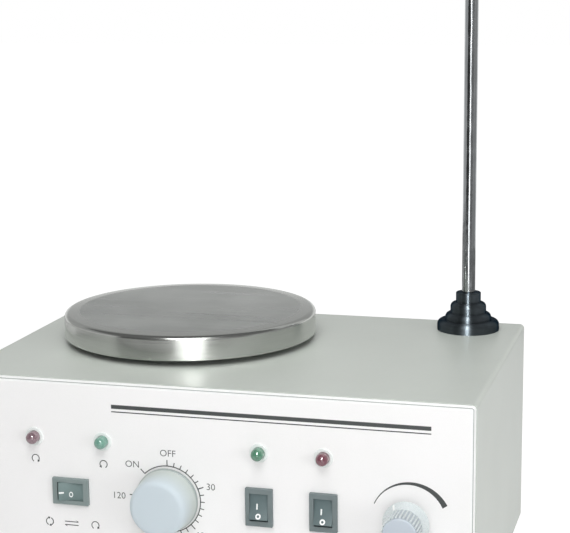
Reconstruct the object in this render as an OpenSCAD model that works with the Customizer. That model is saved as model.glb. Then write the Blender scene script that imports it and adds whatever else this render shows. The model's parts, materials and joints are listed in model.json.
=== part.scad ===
// Hotplate stirrer with a run timer, a speed control and a support rod.
// Millimetres. The front panel faces -Y, +X is to the right and +Z is up.
// The origin lies on the bench, below the middle of the overall width and depth.

/* [Housing] */
// Width of the housing
body_w = 290; // [270:1:340]
// Depth of the housing from its front face to its rear edge
body_d = 188; // [180:1:240]
// Height of the housing above its base plate
body_h = 122; // [116:1:150]
// Thickness of the folded steel sheet
sheet_t = 1.2; // [0.8:0.1:1.6]
// Outside radius of the cover's two long bends
bend_r = 2.6; // [2.4:0.2:6]
// Width of the lips folded inwards along the cover's lower edges
lip_w = 14; // [11:1:18]
// Clearance round parts that drop into or stand beside each other
fit_gap = 0.3; // [0.2:0.05:0.5]
// Radial clearance of a turning shaft or pin in its bearing
run_gap = 0.04; // [0.02:0.01:0.08]

/* [Base plate and feet] */
// Thickness of the base plate
base_t = 1.5; // [1:0.1:2.5]
// How far the base plate stands in from the housing's outline
base_inset = 2; // [1:0.5:4]
// Height of the rubber feet
foot_h = 10.5; // [9:0.5:16]
// Diameter of a foot where it meets the base plate
foot_d = 22; // [18:0.5:24]
// Diameter of a foot where it meets the bench
foot_sole_d = 18; // [15:0.5:22]
// Distance of a foot's centre from the sides, the front and the rear
foot_inset = 28; // [26:1:34]
// Rubber left above the recess for a foot's screw
foot_web = 4; // [3:0.5:5]
// Thread diameter of the screws in the base plate
screw_d = 4; // [3:0.5:4.5]
// Width of a ventilation slot
vent_w = 3; // [2:0.2:3.6]
// Length of a ventilation slot
vent_l = 36; // [20:1:44]
// Spacing of the ventilation slots
vent_pitch = 8; // [6:0.5:8.5]
// Number of ventilation slots in a row
vent_count = 9; // [3:1:9]

/* [Front and rear panels] */
// Thickness of the front and rear panels
panel_t = 1.5; // [1:0.1:2.5]
// How far the front panel's outline stands in from the cover's
panel_inset = 0.4; // [0.2:0.1:1]
// Bevel round the front panel's face
panel_bevel = 0.8; // [0.4:0.1:0.9]
// Depth of the flanges that carry the panels
flange_w = 15; // [12:1:18]
// Thickness of the printed overlay on the front panel
overlay_t = 0.3; // [0.2:0.1:0.6]
// Margin of bare panel left round the overlay
overlay_margin = 1.6; // [1:0.2:4]
// Depth of the rear panel behind the cover's rear edge
rear_recess = 3; // [1:0.5:5]

/* [Layout of the controls] */
// Height of the timer and the switches above the housing's lower edge
controls_h = 59.1; // [50:0.1:66]
// Height of the speed control above the housing's lower edge
speed_h = 57.9; // [50:0.1:66]
// Height of the lamps above the housing's lower edge
lamps_h = 88.7; // [84:0.1:94]
// Sideways place of the direction switch
direction_x = -77.4; // [-84:0.1:-72]
// Distance between the two direction lamps
lamp_pitch = 40; // [34:0.5:44]
// How far the direction lamps' middle lies left of their switch
lamp_shift = 0.7; // [0:0.1:2]
// Sideways place of the timer
timer_x = -21.4; // [-26:0.1:-18]
// Sideways place of the stirring switch and its lamp
stir_x = 30.1; // [26:0.1:34]
// Sideways place of the heating switch and its lamp
heat_x = 65.2; // [60:0.1:70]
// Sideways place of the speed control
speed_x = 109.8; // [100:0.1:112]

/* [Hotplate] */
// Diameter of the hotplate
plate_d = 150; // [140:1:156]
// Height of the hotplate from its rim to its top
plate_h = 14.5; // [13.5:0.5:20]
// Wall of the pressed hotplate
plate_wall = 1.5; // [1:0.1:2]
// Radius of the hotplate's rounded upper edge
plate_edge_r = 3; // [2.2:0.1:4.4]
// Gap between the housing's top and the hotplate's rim
plate_gap = 3.5; // [2:0.5:8]
// Margin between the housing's left side and the hotplate
plate_left = 25; // [20:0.5:30]
// Margin between the housing's rear edge and the hotplate
plate_rear = 2.2; // [1:0.2:8]

/* [Heater] */
// Distance of the heater's layers from the hotplate's outside
heater_inset = 9; // [6:0.5:10]
// Thickness of the aluminium heat spreader
spreader_t = 5; // [4:0.5:5.5]
// Thickness of the mica heating element
element_t = 2; // [1.5:0.1:2.4]
// Thickness of the insulation disc
insulation_t = 3; // [2:0.1:3.4]
// Thickness of the clamp plate below the insulation
clamp_t = 1.2; // [0.8:0.1:1.5]
// Diameter of the heating element's open middle
element_hole_d = 40; // [24:1:60]
// Diameter of the circle on which the three studs stand
stud_circle_d = 100; // [98:1:112]
// Thread diameter of the studs
stud_d = 4; // [3:0.5:5]
// Diameter of the ceramic spacers on the studs
spacer_d = 10; // [8:0.5:12]
// Diameter of the well in the cover below the hotplate
well_d = 84; // [60:1:85]

/* [Stirring drive] */
// Gap between the drive magnets and the underside of the cover
magnet_gap = 2.5; // [1.5:0.5:6]
// Diameter of a drive magnet
magnet_d = 18; // [12:0.5:20]
// Height of a drive magnet
magnet_h = 9; // [6:0.5:12]
// Distance between the centres of the two drive magnets
magnet_pitch = 56; // [50:1:64]
// Depth of the magnets' seats in the carrier
magnet_seat = 1.5; // [0.5:0.5:3]
// Rim of the carrier left round a magnet
carrier_rim = 3; // [2:0.5:5]
// Thickness of the magnet carrier
carrier_t = 5; // [4:0.5:8]
// Diameter of the carrier's hub
hub_d = 18; // [14:0.5:24]
// Length of the carrier's hub below its arms
hub_l = 9; // [6:0.5:12]
// Gap between the hub and the motor bracket
hub_gap = 4; // [2:0.5:6]
// Diameter of the motor shaft
shaft_d = 5; // [4:0.5:6]
// Diameter of the motor
motor_d = 60; // [52:1:64]
// Length of the motor below its bracket
motor_l = 58; // [54:1:64]
// Wall of the motor's case
motor_wall = 2; // [1.5:0.1:3]
// Thickness of the motor's end bells
bell_t = 5; // [4:0.5:6]
// Outside diameter of the shaft bearings
bearing_d = 12; // [10:0.5:14]
// Diameter of the motor's locating boss
boss_d = 20; // [18:0.5:24]
// Inside diameter of the stator
stator_bore_d = 36; // [30:1:38]
// Length of the stator and the rotor
stator_l = 28; // [20:1:30]
// Height of the windings at each end of the stator
winding_h = 6; // [4:0.5:7]
// Gap between the rotor and the stator
air_gap = 0.5; // [0.3:0.1:0.8]
// Thickness of the motor bracket
bracket_t = 2; // [1.5:0.1:3]
// Space between the motor and the bracket's legs
bracket_gap = 10; // [8:0.5:12]
// Width of the bracket's feet
bracket_foot_w = 15; // [12:0.5:18]
// Circle diameter of the four motor screws
motor_screw_circle_d = 42; // [38:1:44]
// Thread diameter of the motor screws
motor_screw_d = 3; // [2.5:0.5:4]

/* [Support rod] */
// Diameter of the support rod
rod_d = 8; // [6:0.5:12]
// Diameter of the rod's threaded lower end
rod_thread_d = 6; // [4:0.5:6]
// Height of the rod's tip above the housing's top
rod_reach = 330; // [150:5:500]
// Distance of the rod from the housing's right side
rod_side = 31.6; // [26:0.2:40]
// Distance of the rod from the housing's rear edge
rod_rear = 20.1; // [20:0.1:30]
// Diameter of the rod base's flange
rod_flange_d = 37.4; // [36.8:0.2:40]
// Height of the rod base's flange
rod_flange_h = 6.2; // [4:0.2:9]
// Diameter of the rod base's second step
rod_step_d = 27.8; // [27.2:0.2:31]
// Height of the rod base's second step
rod_step_h = 4.4; // [3:0.2:8]
// Diameter of the rod base's upper step
rod_neck_d = 21.6; // [20.6:0.2:21.6]
// Height of the rod base's upper step
rod_neck_h = 6.4; // [4:0.2:10]
// Radius of the rounded edges of the rod base
rod_edge_r = 2.8; // [0.8:0.2:2.8]
// Diameter of the locking collar on the rod
rod_collar_d = 15; // [13:0.2:15]
// Height of the locking collar
rod_collar_h = 6; // [4:0.2:12]
// Height of the nut that holds the rod below the cover
rod_nut_h = 6.5; // [4:0.5:8]
// Width across the flats of that nut
rod_nut_af = 16; // [13:0.5:20]

/* [Knobs] */
// Gap between the overlay and the back of the timer knob
timer_gap = 0.8; // [0.5:0.1:2]
// Gap between the overlay and the back of the speed knob
speed_gap = 4.2; // [3.6:0.1:6]
// Diameter of the knobs' shafts
spindle_d = 6; // [4:0.5:6.5]
// Depth of the flat on the knobs' shafts
spindle_flat = 1; // [0.5:0.1:1.5]
// Diameter of the threaded bushes behind the knobs
bush_d = 9; // [8:0.5:10]
// Width across the flats of the bush nuts
bush_nut_af = 13; // [12:0.5:14]
// Thickness of the bush nuts
bush_nut_t = 2.5; // [1.5:0.5:3]
// Diameter of the timer knob's skirt
timer_skirt_d = 34.8; // [34.2:0.2:37]
// Height of the timer knob's skirt
timer_skirt_h = 2.2; // [1.5:0.1:4]
// Diameter of the timer knob at its skirt
timer_knob_d = 33.8; // [30:0.2:34]
// Diameter of the timer knob's face before its edge is rounded
timer_face_d = 31; // [28:0.2:33.6]
// Length of the timer knob
timer_knob_l = 17.8; // [14:0.1:20]
// Radius of the timer knob's front edge
timer_edge_r = 2.4; // [1:0.2:4]
// Diameter of the speed knob's skirt
speed_skirt_d = 24.6; // [22:0.2:30]
// Height of the speed knob's skirt
speed_skirt_h = 2.2; // [1.6:0.2:4]
// Diameter of the speed knob's grip
speed_grip_d = 17.2; // [16:0.2:19]
// Length of the speed knob
speed_knob_l = 17.4; // [14:0.1:24]
// Radius of the speed knob's front edge
speed_edge_r = 0.9; // [0.6:0.1:2]
// Number of flutes round the speed knob's grip
flute_count = 24; // [12:1:28]
// Diameter of a flute
flute_d = 1; // [0.8:0.1:1.6]
// Width and height of the timer's case
timer_case_w = 44; // [36:1:48]
// Depth of the timer's case
timer_case_l = 32; // [20:1:40]
// Diameter of the speed control behind the panel
speed_case_d = 24; // [18:1:28]
// Depth of the speed control behind the panel
speed_case_l = 11; // [8:0.5:16]
// Length of the shafts inside the timer and the speed control
spindle_bearing_l = 6; // [4:0.5:7]

/* [Switches] */
// Length of a switch's bezel
switch_l = 21; // [20:0.2:23]
// Width of a switch's bezel
switch_w = 15; // [14:0.2:17]
// Height of a switch's bezel
bezel_h = 2; // [1.5:0.1:2.4]
// Width of the bezel's rim beside the rocker
bezel_rim = 2.4; // [2:0.1:2.8]
// Width of the bezel's rim at the rocker's ends
bezel_end = 2.9; // [2.2:0.1:3.4]
// Overlap of the bezel on the panel
bezel_lap = 0.9; // [0.6:0.1:1]
// Depth of the switch behind the overlay
switch_depth = 17; // [14:0.5:22]
// Depth of the rocker's pivot behind the overlay
rocker_pivot = 1; // [0.6:0.1:1.4]
// Height of the rocker's middle above the overlay
rocker_dip = 1.4; // [1:0.1:1.6]
// Tilt of the rocker to each side
rocker_tilt = 11; // [8:0.5:12]
// Diameter of the rocker's pivot pins
rocker_pin_d = 2.4; // [1.6:0.1:2.6]
// Length of a pivot pin in the switch's wall
rocker_pin_l = 0.8; // [0.5:0.1:0.9]
// Length of the switch's terminals
terminal_l = 8; // [5:0.5:10]

/* [Lamps] */
// Diameter of a lamp's lens
lens_d = 6.8; // [6:0.2:8]
// Height of the lens above the overlay
lens_h = 6.8; // [4.6:0.1:8]
// Diameter of a lamp's bezel
lamp_bezel_d = 10.2; // [10:0.2:12]
// Height of the lamp's bezel
lamp_bezel_h = 0.8; // [0.6:0.1:2]
// Wall of the lamp's tube behind the panel
lamp_wall = 0.7; // [0.5:0.1:0.9]
// Length of the lamp's tube behind the overlay
lamp_tube_l = 12; // [8:0.5:18]

/* [Electrics] */
// Width of the circuit board
board_w = 80; // [74:1:84]
// Thickness of the circuit board
board_t = 1.6; // [1:0.1:2.4]
// Distance of the circuit board from the right side
board_side = 18; // [16:1:24]
// Distance of the circuit board from the front face
board_front = 48; // [46:1:54]
// Distance of the circuit board from the rear edge
board_rear = 44; // [42:1:48]
// Height of the board's posts
post_h = 9; // [8:0.5:14]
// Diameter of the board's posts
post_d = 8; // [7:0.5:9]
// Distance of the posts from the board's edges
post_inset = 6; // [5:0.5:8]
// Sideways place of the mains inlet
inlet_x = 92; // [86:1:100]
// Height of the mains inlet above the housing's lower edge
inlet_h = 34; // [24:1:44]
// Sideways place of the fuse holder
fuse_x = 44; // [36:1:52]
// Diameter of the fuse holder's flange
fuse_flange_d = 17; // [15:0.5:20]
// Diameter of the fuse holder's body
fuse_body_d = 13; // [12:0.5:14]
// Diameter of the fuse cap
fuse_cap_d = 11.4; // [11:0.2:13]
// How far the fuse cap stands out of its holder
fuse_cap_l = 8; // [6:0.5:12]

/* [Hidden] */
$fn = 64;

// Colours
enamel = "#BFC7BF";
panel_white = "#F2F3F2";
overlay_white = "#F6F6F6";
zinc = "#A9ADAE";
rubber_black = "#1E1F20";
stainless = "#9A9C99";
aluminium = "#C3C6C8";
mica = "#B79A6A";
ceramic_white = "#EFEFEA";
chrome = "#C9CDD0";
gloss_black = "#24282B";
motor_grey = "#5D6468";
copper = "#B5693A";
bronze = "#9A7B45";
magnet_grey = "#4A4D50";
frosted_blue = "#CDD6DF";
switch_grey = "#6F7C7B";
brass = "#C2A04A";
lamp_green = "#5E8F78";
lamp_red = "#7B4A55";
clear_white = "#E6EAE8";
board_green = "#2F6B45";
case_black = "#2B2D2F";

// How far a cutting shape runs past the faces that it cuts
cut = 1;
// Straight steps in a rounded profile's quarter turn
arc_steps = 8;

// Heights
z_body = foot_h + base_t;
z_top = z_body + body_h;
z_cover_under = z_top - sheet_t;
z_controls = z_body + controls_h;
z_speed = z_body + speed_h;
z_lamps = z_body + lamps_h;
z_rim = z_top + plate_gap;
z_plate_top = z_rim + plate_h;
z_spreader_top = z_plate_top - plate_wall;
z_element_top = z_spreader_top - spreader_t;
z_insulation_top = z_element_top - element_t;
z_clamp_top = z_insulation_top - insulation_t;
z_clamp_under = z_clamp_top - clamp_t;
z_magnet_top = z_cover_under - magnet_gap;
z_magnet_under = z_magnet_top - magnet_h;
z_carrier_top = z_magnet_under + magnet_seat;
z_carrier_under = z_carrier_top - carrier_t;
z_bracket_top = z_carrier_under - hub_l - hub_gap;
z_motor_top = z_bracket_top - bracket_t;
z_motor_under = z_motor_top - motor_l;
z_rotor_mid = (z_motor_top + z_motor_under) / 2;
z_board_under = z_body + post_h;
z_board_top = z_board_under + board_t;
z_inlet = z_body + inlet_h;

// Depths: the overall box, knobs and fuse cap included, is centred on the origin
fuse_flange_t = 2;
front_reach = overlay_t + max(timer_gap + timer_knob_l, speed_gap + speed_knob_l);
rear_reach = fuse_flange_t + fuse_cap_l - rear_recess;
front_y = (front_reach - body_d - rear_reach) / 2;
rear_y = front_y + body_d;
mid_y = front_y + body_d / 2;
face_y = front_y - overlay_t;
cover_front_y = front_y + panel_t + fit_gap;
rear_face_y = rear_y - rear_recess;
rear_inner_y = rear_face_y - panel_t;
lip_front_y = front_y + panel_t + flange_w + fit_gap;
lip_rear_y = rear_inner_y - flange_w - fit_gap;
panel_depth = panel_t + overlay_t;

// Hotplate, drive and rod
plate_x = plate_left + plate_d / 2 - body_w / 2;
plate_y = rear_y - plate_rear - plate_d / 2;
spreader_d = plate_d - 2 * heater_inset;
stud_top_z = z_spreader_top - spreader_t / 2;
stud_nut_h = 3.2;
stud_tail = 3;
stud_under_z = z_cover_under - stud_nut_h - stud_tail;
rod_x = body_w / 2 - rod_side;
rod_y = rear_y - rod_rear;
z_rod_base_top = z_top + rod_flange_h + rod_step_h + rod_neck_h;
z_rod_shoulder = z_rod_base_top + rod_collar_h;
z_rod_tip = z_top + rod_reach;
rod_tail = 5;
z_rod_under = z_cover_under - rod_nut_h - rod_tail;
rod_chamfer = 0.8;
spigot_wall = 1.5;
spigot_d = rod_thread_d + 2 * spigot_wall;

// Motor and bracket
bracket_half = motor_d / 2 + bracket_gap;
bracket_margin = 3;
bracket_d = motor_d + 2 * bracket_margin;
motor_bore_d = motor_d - 2 * motor_wall;
rotor_d = stator_bore_d - 2 * air_gap;
shaft_under_z = z_motor_under + run_gap;
shaft_recess = 1;
shaft_top_z = z_carrier_top - shaft_recess;
arm_w = magnet_d;
bell_web = 1;
motor_screw_l = bracket_t + bell_t - bell_web;

// Circuit board
board_x = body_w / 2 - board_side - board_w / 2;
board_l = body_d - board_front - board_rear;
board_y = rear_y - board_rear - board_l / 2;
post_stud_d = 3.4;
post_tip = 2;
post_stud_l = board_t + post_tip;

// Screws
screw_tip = 5;
head_ratio = 2;
head_h_ratio = 0.6;
nut_ratio = 1.75;
recess_l_ratio = 0.6;
recess_w_ratio = 0.14;
foot_recess_gap = 0.75;
foot_recess_d = head_ratio * screw_d + 2 * foot_recess_gap;
foot_points = [
    for (sx = [-1, 1], sy = [-1, 1])
        [sx * (body_w / 2 - foot_inset), mid_y + sy * (body_d / 2 - foot_inset)]
];
lip_points = [
    for (sx = [-1, 1], y = [lip_front_y + lip_w, lip_rear_y - lip_w])
        [sx * (body_w / 2 - lip_w / 2 - sheet_t / 2), y]
];
flange_points = [
    for (sx = [-1, 1], y = [front_y + panel_t + flange_w / 2, rear_inner_y - flange_w / 2])
        [sx * body_w / 4, y]
];
bracket_points = [
    for (sx = [-1, 1], sy = [-1, 1])
        [plate_x + sx * (bracket_half + bracket_t + bracket_foot_w / 2), plate_y + sy * bracket_d / 4]
];
post_points = [
    for (sx = [-1, 1], sy = [-1, 1])
        [board_x + sx * (board_w / 2 - post_inset), board_y + sy * (board_l / 2 - post_inset)]
];

// Controls: sideways place, height, and turn of each switch
switch_places = [[direction_x, z_controls, 90], [stir_x, z_controls, 0], [heat_x, z_controls, 0]];
lamp_places = [
    [direction_x - lamp_shift - lamp_pitch / 2, z_lamps],
    [direction_x - lamp_shift + lamp_pitch / 2, z_lamps],
    [stir_x, z_lamps],
    [heat_x, z_lamps]
];
knob_places = [[timer_x, z_controls], [speed_x, z_speed]];
case_w = switch_w - 2 * bezel_lap;
case_l = switch_l - 2 * bezel_lap;
rocker_hole_w = switch_w - 2 * bezel_rim;
rocker_hole_l = switch_l - 2 * bezel_end;
rocker_w = rocker_hole_w - 2 * fit_gap;
rocker_r = rocker_hole_l / 2 - fit_gap;
rocker_skirt = 4.5;
lug_w = 6;
lug_h = 5;
lug_out = 1;
lug_gap = 0.1;
lens_tail = 4;
lamp_tube_d = lens_d + 2 * lamp_wall;
nut_room = 1;
spindle_grip_l = 7;
bush_l = bush_nut_t + nut_room;
timer_recess_d = bush_nut_af / cos(30) + 2 * nut_room;
timer_recess_h = bush_l + nut_room - timer_gap;
timer_tip = bush_l + nut_room + spindle_grip_l;
speed_tip = speed_gap + spindle_grip_l;

// Mains inlet: outline of the socket, its flange and its blades
inlet_flange_w = 50;
inlet_flange_h = 24;
inlet_flange_t = 3;
inlet_body_w = 28;
inlet_body_h = 20.5;
inlet_depth = 18;
socket_w = 24.4;
socket_h = 16.6;
socket_chamfer = 5;
socket_depth = 16;
blade_w = 2;
blade_h = 4;
blade_recess = 5.5;
blade_tail = 8;
blade_places = [[-7, -1.6], [7, -1.6], [0, 2.4]];
inlet_screw_pitch = 40;
inlet_screw_d = 3;
fuse_depth = 30;
fuse_bore_d = 9;
fuse_bore_l = 12;
fuse_nut_t = 3;
fuse_nut_af = fuse_body_d + 5;
inlet_corner_r = 4;
inlet_screw_tip = 2;

// Points of a round corner about a centre, between two angles
function corner(centre, r, a0, a1) = [
    for (i = [0 : arc_steps])
        let (a = a0 + (a1 - a0) * i / arc_steps)
        [centre[0] + r * cos(a), centre[1] + r * sin(a)]
];

// Rectangle with round corners, centred
module round_rect(w, h, r) {
    square([w - 2 * r, h], center = true);
    square([w, h - 2 * r], center = true);
    for (sx = [-1, 1], sy = [-1, 1])
        translate([sx * (w / 2 - r), sy * (h / 2 - r)])
            circle(r);
}

// Slot with round ends, centred and standing
module slot(w, l) {
    square([w, l - w], center = true);
    for (end = [-1, 1])
        translate([0, end * (l - w) / 2])
            circle(d = w);
}

// Row of ventilation slots, centred
module vent_row() {
    for (i = [0 : vent_count - 1])
        translate([(i - (vent_count - 1) / 2) * vent_pitch, 0])
            slot(vent_w, vent_l);
}

// Upright outline with two round upper corners, standing on its lower edge
module arch(w, h, r) {
    translate([-w / 2, 0])
        square([w, h - r]);
    translate([r - w / 2, 0])
        square([w - 2 * r, h]);
    for (side = [-1, 1])
        translate([side * (w / 2 - r), h - r])
            circle(r);
}

// Cross-section of the housing, drawn from its lower edge, swept between two depths
module along_depth(from_y, to_y) {
    translate([0, to_y, z_body])
        rotate([90, 0, 0])
            linear_extrude(to_y - from_y)
                children();
}

// Places a shape on the overlay: drawn X right and Y up, rising towards the user
module on_front(x, z) {
    translate([x, face_y, z])
        rotate([90, 0, 0])
            children();
}

// Places a shape on the rear panel: drawn X left and Y up, rising away from it
module on_rear(x, z) {
    translate([x, rear_face_y, z])
        rotate([90, 0, 180])
            children();
}

// Places a shape at a list of points on one height
module at_points(points, z) {
    for (p = points)
        translate([p[0], p[1], z])
            children();
}

// Places a shape at the three studs of the hotplate
module at_studs(z) {
    for (i = [0 : 2])
        translate([plate_x, plate_y, z])
            rotate(90 + 120 * i)
                translate([stud_circle_d / 2, 0, 0])
                    children();
}

// Hexagon by its width across the flats
module hexagon(af) {
    circle(d = af / cos(30), $fn = 6);
}

// Round ring standing on its lower face
module ring(d_out, d_in, h) {
    difference() {
        cylinder(d = d_out, h = h);
        translate([0, 0, -cut])
            cylinder(d = d_in, h = h + 2 * cut);
    }
}

// Screw whose head hangs below its seat and whose shank rises above it
module screw(d, l) {
    head_d = head_ratio * d;
    head_h = head_h_ratio * d;
    difference() {
        union() {
            cylinder(d = d, h = l);
            translate([0, 0, -head_h])
                cylinder(d = head_d, h = head_h);
        }
        for (turn = [0, 90])
            rotate(turn)
                translate([0, 0, -head_h])
                    cube([head_d * recess_l_ratio, head_d * recess_w_ratio, head_h], center = true);
    }
}

// Plate with round corners and a bevelled face
module bevelled_plate(w, h, r, t, bevel) {
    hull() {
        linear_extrude(t - bevel)
            round_rect(w, h, r, $fn = 32);
        linear_extrude(t)
            round_rect(w - 2 * bevel, h - 2 * bevel, r - bevel, $fn = 32);
    }
}

// Openings for the controls, drawn in X and Z
module control_openings() {
    for (p = switch_places)
        translate([p[0], p[1]])
            rotate(p[2])
                square([case_w + 2 * fit_gap, case_l + 2 * fit_gap], center = true);
    for (p = lamp_places)
        translate(p)
            circle(d = lamp_tube_d + 2 * fit_gap);
    for (p = knob_places)
        translate(p)
            circle(d = bush_d + 2 * fit_gap);
}

// The same openings cut through the front panel and the overlay
module control_cuts() {
    translate([0, front_y + panel_t + cut, 0])
        rotate([90, 0, 0])
            linear_extrude(panel_depth + 2 * cut)
                control_openings();
}

// Housing

module housing_cover() {
    color(enamel)
        difference() {
            union() {
                along_depth(cover_front_y, rear_y)
                    difference() {
                        arch(body_w, body_h, bend_r);
                        translate([0, -cut])
                            arch(body_w - 2 * sheet_t, body_h - sheet_t + cut, bend_r - sheet_t);
                    }
                along_depth(lip_front_y, lip_rear_y)
                    for (side = [-1, 1])
                        translate([side * (body_w - lip_w) / 2, sheet_t / 2])
                            square([lip_w, sheet_t], center = true);
            }
            translate([plate_x, plate_y, z_cover_under - cut])
                cylinder(d = well_d, h = sheet_t + 2 * cut);
            at_studs(z_cover_under - cut)
                cylinder(d = stud_d + 2 * fit_gap, h = sheet_t + 2 * cut);
            translate([rod_x, rod_y, z_cover_under - cut])
                cylinder(d = spigot_d + 2 * fit_gap, h = sheet_t + 2 * cut);
            at_points(lip_points, z_body - cut)
                cylinder(d = screw_d, h = sheet_t + 2 * cut);
        }
}

// Flange of a panel, lying on the base plate or below the cover
module panel_flange(from_y, to_y, z) {
    flange_l = body_w - 2 * (bend_r + fit_gap);
    translate([-flange_l / 2, from_y, z])
        cube([flange_l, to_y - from_y, sheet_t]);
}

module front_panel() {
    flange_end_y = front_y + panel_t + flange_w;
    color(panel_white)
        difference() {
            union() {
                translate([0, front_y + panel_t, z_body + body_h / 2])
                    rotate([90, 0, 0])
                        bevelled_plate(
                            body_w - 2 * panel_inset, body_h - 2 * panel_inset,
                            bend_r - panel_inset, panel_t, panel_bevel
                        );
                panel_flange(front_y + panel_t / 2, flange_end_y, z_body);
                panel_flange(front_y + panel_t / 2, flange_end_y, z_cover_under - fit_gap - sheet_t);
            }
            control_cuts();
            at_points(flange_points, z_body - cut)
                cylinder(d = screw_d, h = sheet_t + 2 * cut);
        }
}

module panel_overlay() {
    inset = panel_inset + panel_bevel + overlay_margin;
    color(overlay_white)
        difference() {
            translate([0, front_y, z_body + body_h / 2])
                rotate([90, 0, 0])
                    linear_extrude(overlay_t)
                        round_rect(body_w - 2 * inset, body_h - 2 * inset, bend_r / 2);
            control_cuts();
        }
}

module rear_panel() {
    gap = sheet_t + fit_gap;
    color(enamel)
        difference() {
            union() {
                along_depth(rear_inner_y, rear_face_y)
                    arch(body_w - 2 * gap, body_h - gap, bend_r - sheet_t);
                panel_flange(rear_inner_y - flange_w, rear_inner_y + panel_t / 2, z_body);
            }
            on_rear(inlet_x, z_inlet)
                translate([0, 0, -panel_t - cut])
                    linear_extrude(panel_t + 2 * cut) {
                        square([inlet_body_w + 2 * fit_gap, inlet_body_h + 2 * fit_gap], center = true);
                        for (side = [-1, 1])
                            translate([side * inlet_screw_pitch / 2, 0])
                                circle(d = inlet_screw_d);
                    }
            on_rear(fuse_x, z_inlet)
                translate([0, 0, -panel_t - cut])
                    cylinder(d = fuse_body_d + 2 * fit_gap, h = panel_t + 2 * cut);
            on_rear(plate_x, z_body + body_h / 2)
                translate([0, 0, -panel_t - cut])
                    linear_extrude(panel_t + 2 * cut)
                        vent_row();
            at_points(flange_points, z_body - cut)
                cylinder(d = screw_d, h = sheet_t + 2 * cut);
        }
}

module base_plate() {
    color(zinc)
        translate([0, 0, foot_h])
            linear_extrude(base_t)
                difference() {
                    translate([0, mid_y])
                        round_rect(body_w - 2 * base_inset, body_d - 2 * base_inset, bend_r);
                    for (p = concat(lip_points, flange_points, bracket_points, post_points))
                        translate(p)
                            circle(d = screw_d + 2 * fit_gap);
                    for (p = foot_points)
                        translate(p)
                            circle(d = screw_d);
                    translate([plate_x, plate_y])
                        vent_row();
                    translate([board_x, board_y])
                        rotate(90)
                            vent_row();
                }
}

module rubber_feet() {
    color(rubber_black)
        at_points(foot_points, 0)
            difference() {
                cylinder(d1 = foot_sole_d, d2 = foot_d, h = foot_h);
                translate([0, 0, -cut])
                    cylinder(d = foot_recess_d, h = foot_h - foot_web + cut);
                cylinder(d = screw_d + 2 * fit_gap, h = foot_h + cut);
            }
}

module foot_screws() {
    color(zinc)
        at_points(foot_points, foot_h - foot_web)
            screw(screw_d, foot_web + base_t + screw_tip);
}

module base_screws() {
    color(zinc)
        at_points(concat(lip_points, flange_points, bracket_points, post_points), foot_h)
            screw(screw_d, base_t + screw_tip);
}

// Hotplate

module hotplate() {
    r = plate_d / 2;
    inner_r = r - plate_wall;
    edge = [r - plate_edge_r, plate_h - plate_edge_r];
    outside = corner(edge, plate_edge_r, 90, 0);
    inside = corner(edge, plate_edge_r - plate_wall, 90, 0);
    color(stainless)
        translate([plate_x, plate_y, z_rim])
            rotate_extrude()
                difference() {
                    polygon(concat([[0, 0], [0, plate_h]], outside, [[r, 0]]));
                    polygon(concat([[-cut, -cut], [-cut, plate_h - plate_wall]], inside, [[inner_r, -cut]]));
                }
}

// Layer below the hotplate, drilled for the studs
module heater_layer(z, t, d, hole_d) {
    difference() {
        translate([plate_x, plate_y, z])
            cylinder(d = d, h = t);
        at_studs(z - cut)
            cylinder(d = hole_d, h = t + 2 * cut);
    }
}

module heat_spreader() {
    color(aluminium)
        difference() {
            translate([plate_x, plate_y, z_element_top])
                cylinder(d = spreader_d, h = spreader_t);
            at_studs(z_element_top - cut)
                cylinder(d = stud_d, h = stud_top_z - z_element_top + cut);
        }
}

module heating_element() {
    color(mica)
        difference() {
            heater_layer(z_insulation_top, element_t, spreader_d, stud_d + 2 * fit_gap);
            translate([plate_x, plate_y, z_insulation_top - cut])
                cylinder(d = element_hole_d, h = element_t + 2 * cut);
        }
}

module insulation_disc() {
    color(ceramic_white)
        heater_layer(z_clamp_top, insulation_t, spreader_d, stud_d + 2 * fit_gap);
}

module clamp_plate() {
    color(zinc)
        heater_layer(z_clamp_under, clamp_t, spreader_d, stud_d + 2 * fit_gap);
}

module plate_studs() {
    color(zinc)
        at_studs(stud_under_z)
            cylinder(d = stud_d, h = stud_top_z - stud_under_z);
}

module plate_spacers() {
    color(ceramic_white)
        at_studs(z_top)
            ring(spacer_d, stud_d + 2 * fit_gap, z_clamp_under - z_top);
}

module plate_nuts() {
    color(zinc)
        at_studs(z_cover_under - stud_nut_h)
            linear_extrude(stud_nut_h)
                difference() {
                    hexagon(nut_ratio * stud_d);
                    circle(d = stud_d);
                }
}

// Support rod

module support_rod() {
    r = rod_d / 2;
    thread_r = rod_thread_d / 2;
    color(chrome)
        translate([rod_x, rod_y, 0])
            rotate_extrude()
                polygon([
                    [0, z_rod_under], [thread_r - rod_chamfer, z_rod_under],
                    [thread_r, z_rod_under + rod_chamfer], [thread_r, z_rod_shoulder], [r, z_rod_shoulder],
                    [r, z_rod_tip - rod_chamfer], [r - rod_chamfer, z_rod_tip], [0, z_rod_tip]
                ]);
}

module rod_base() {
    steps = [
        [rod_flange_d / 2, rod_flange_h],
        [rod_step_d / 2, rod_flange_h + rod_step_h],
        [rod_neck_d / 2, rod_flange_h + rod_step_h + rod_neck_h]
    ];
    edges = [
        for (i = [0 : 2])
            concat(
                [[steps[i][0], i == 0 ? 0 : steps[i - 1][1]]],
                corner([steps[i][0] - rod_edge_r, steps[i][1] - rod_edge_r], rod_edge_r, 0, 90)
            )
    ];
    color(gloss_black)
        translate([rod_x, rod_y, z_top])
            rotate_extrude()
                polygon(concat(
                    [[rod_thread_d / 2, -sheet_t], [spigot_d / 2, -sheet_t], [spigot_d / 2, 0]],
                    edges[0], edges[1], edges[2],
                    [[rod_thread_d / 2, steps[2][1]]]
                ));
}

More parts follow.
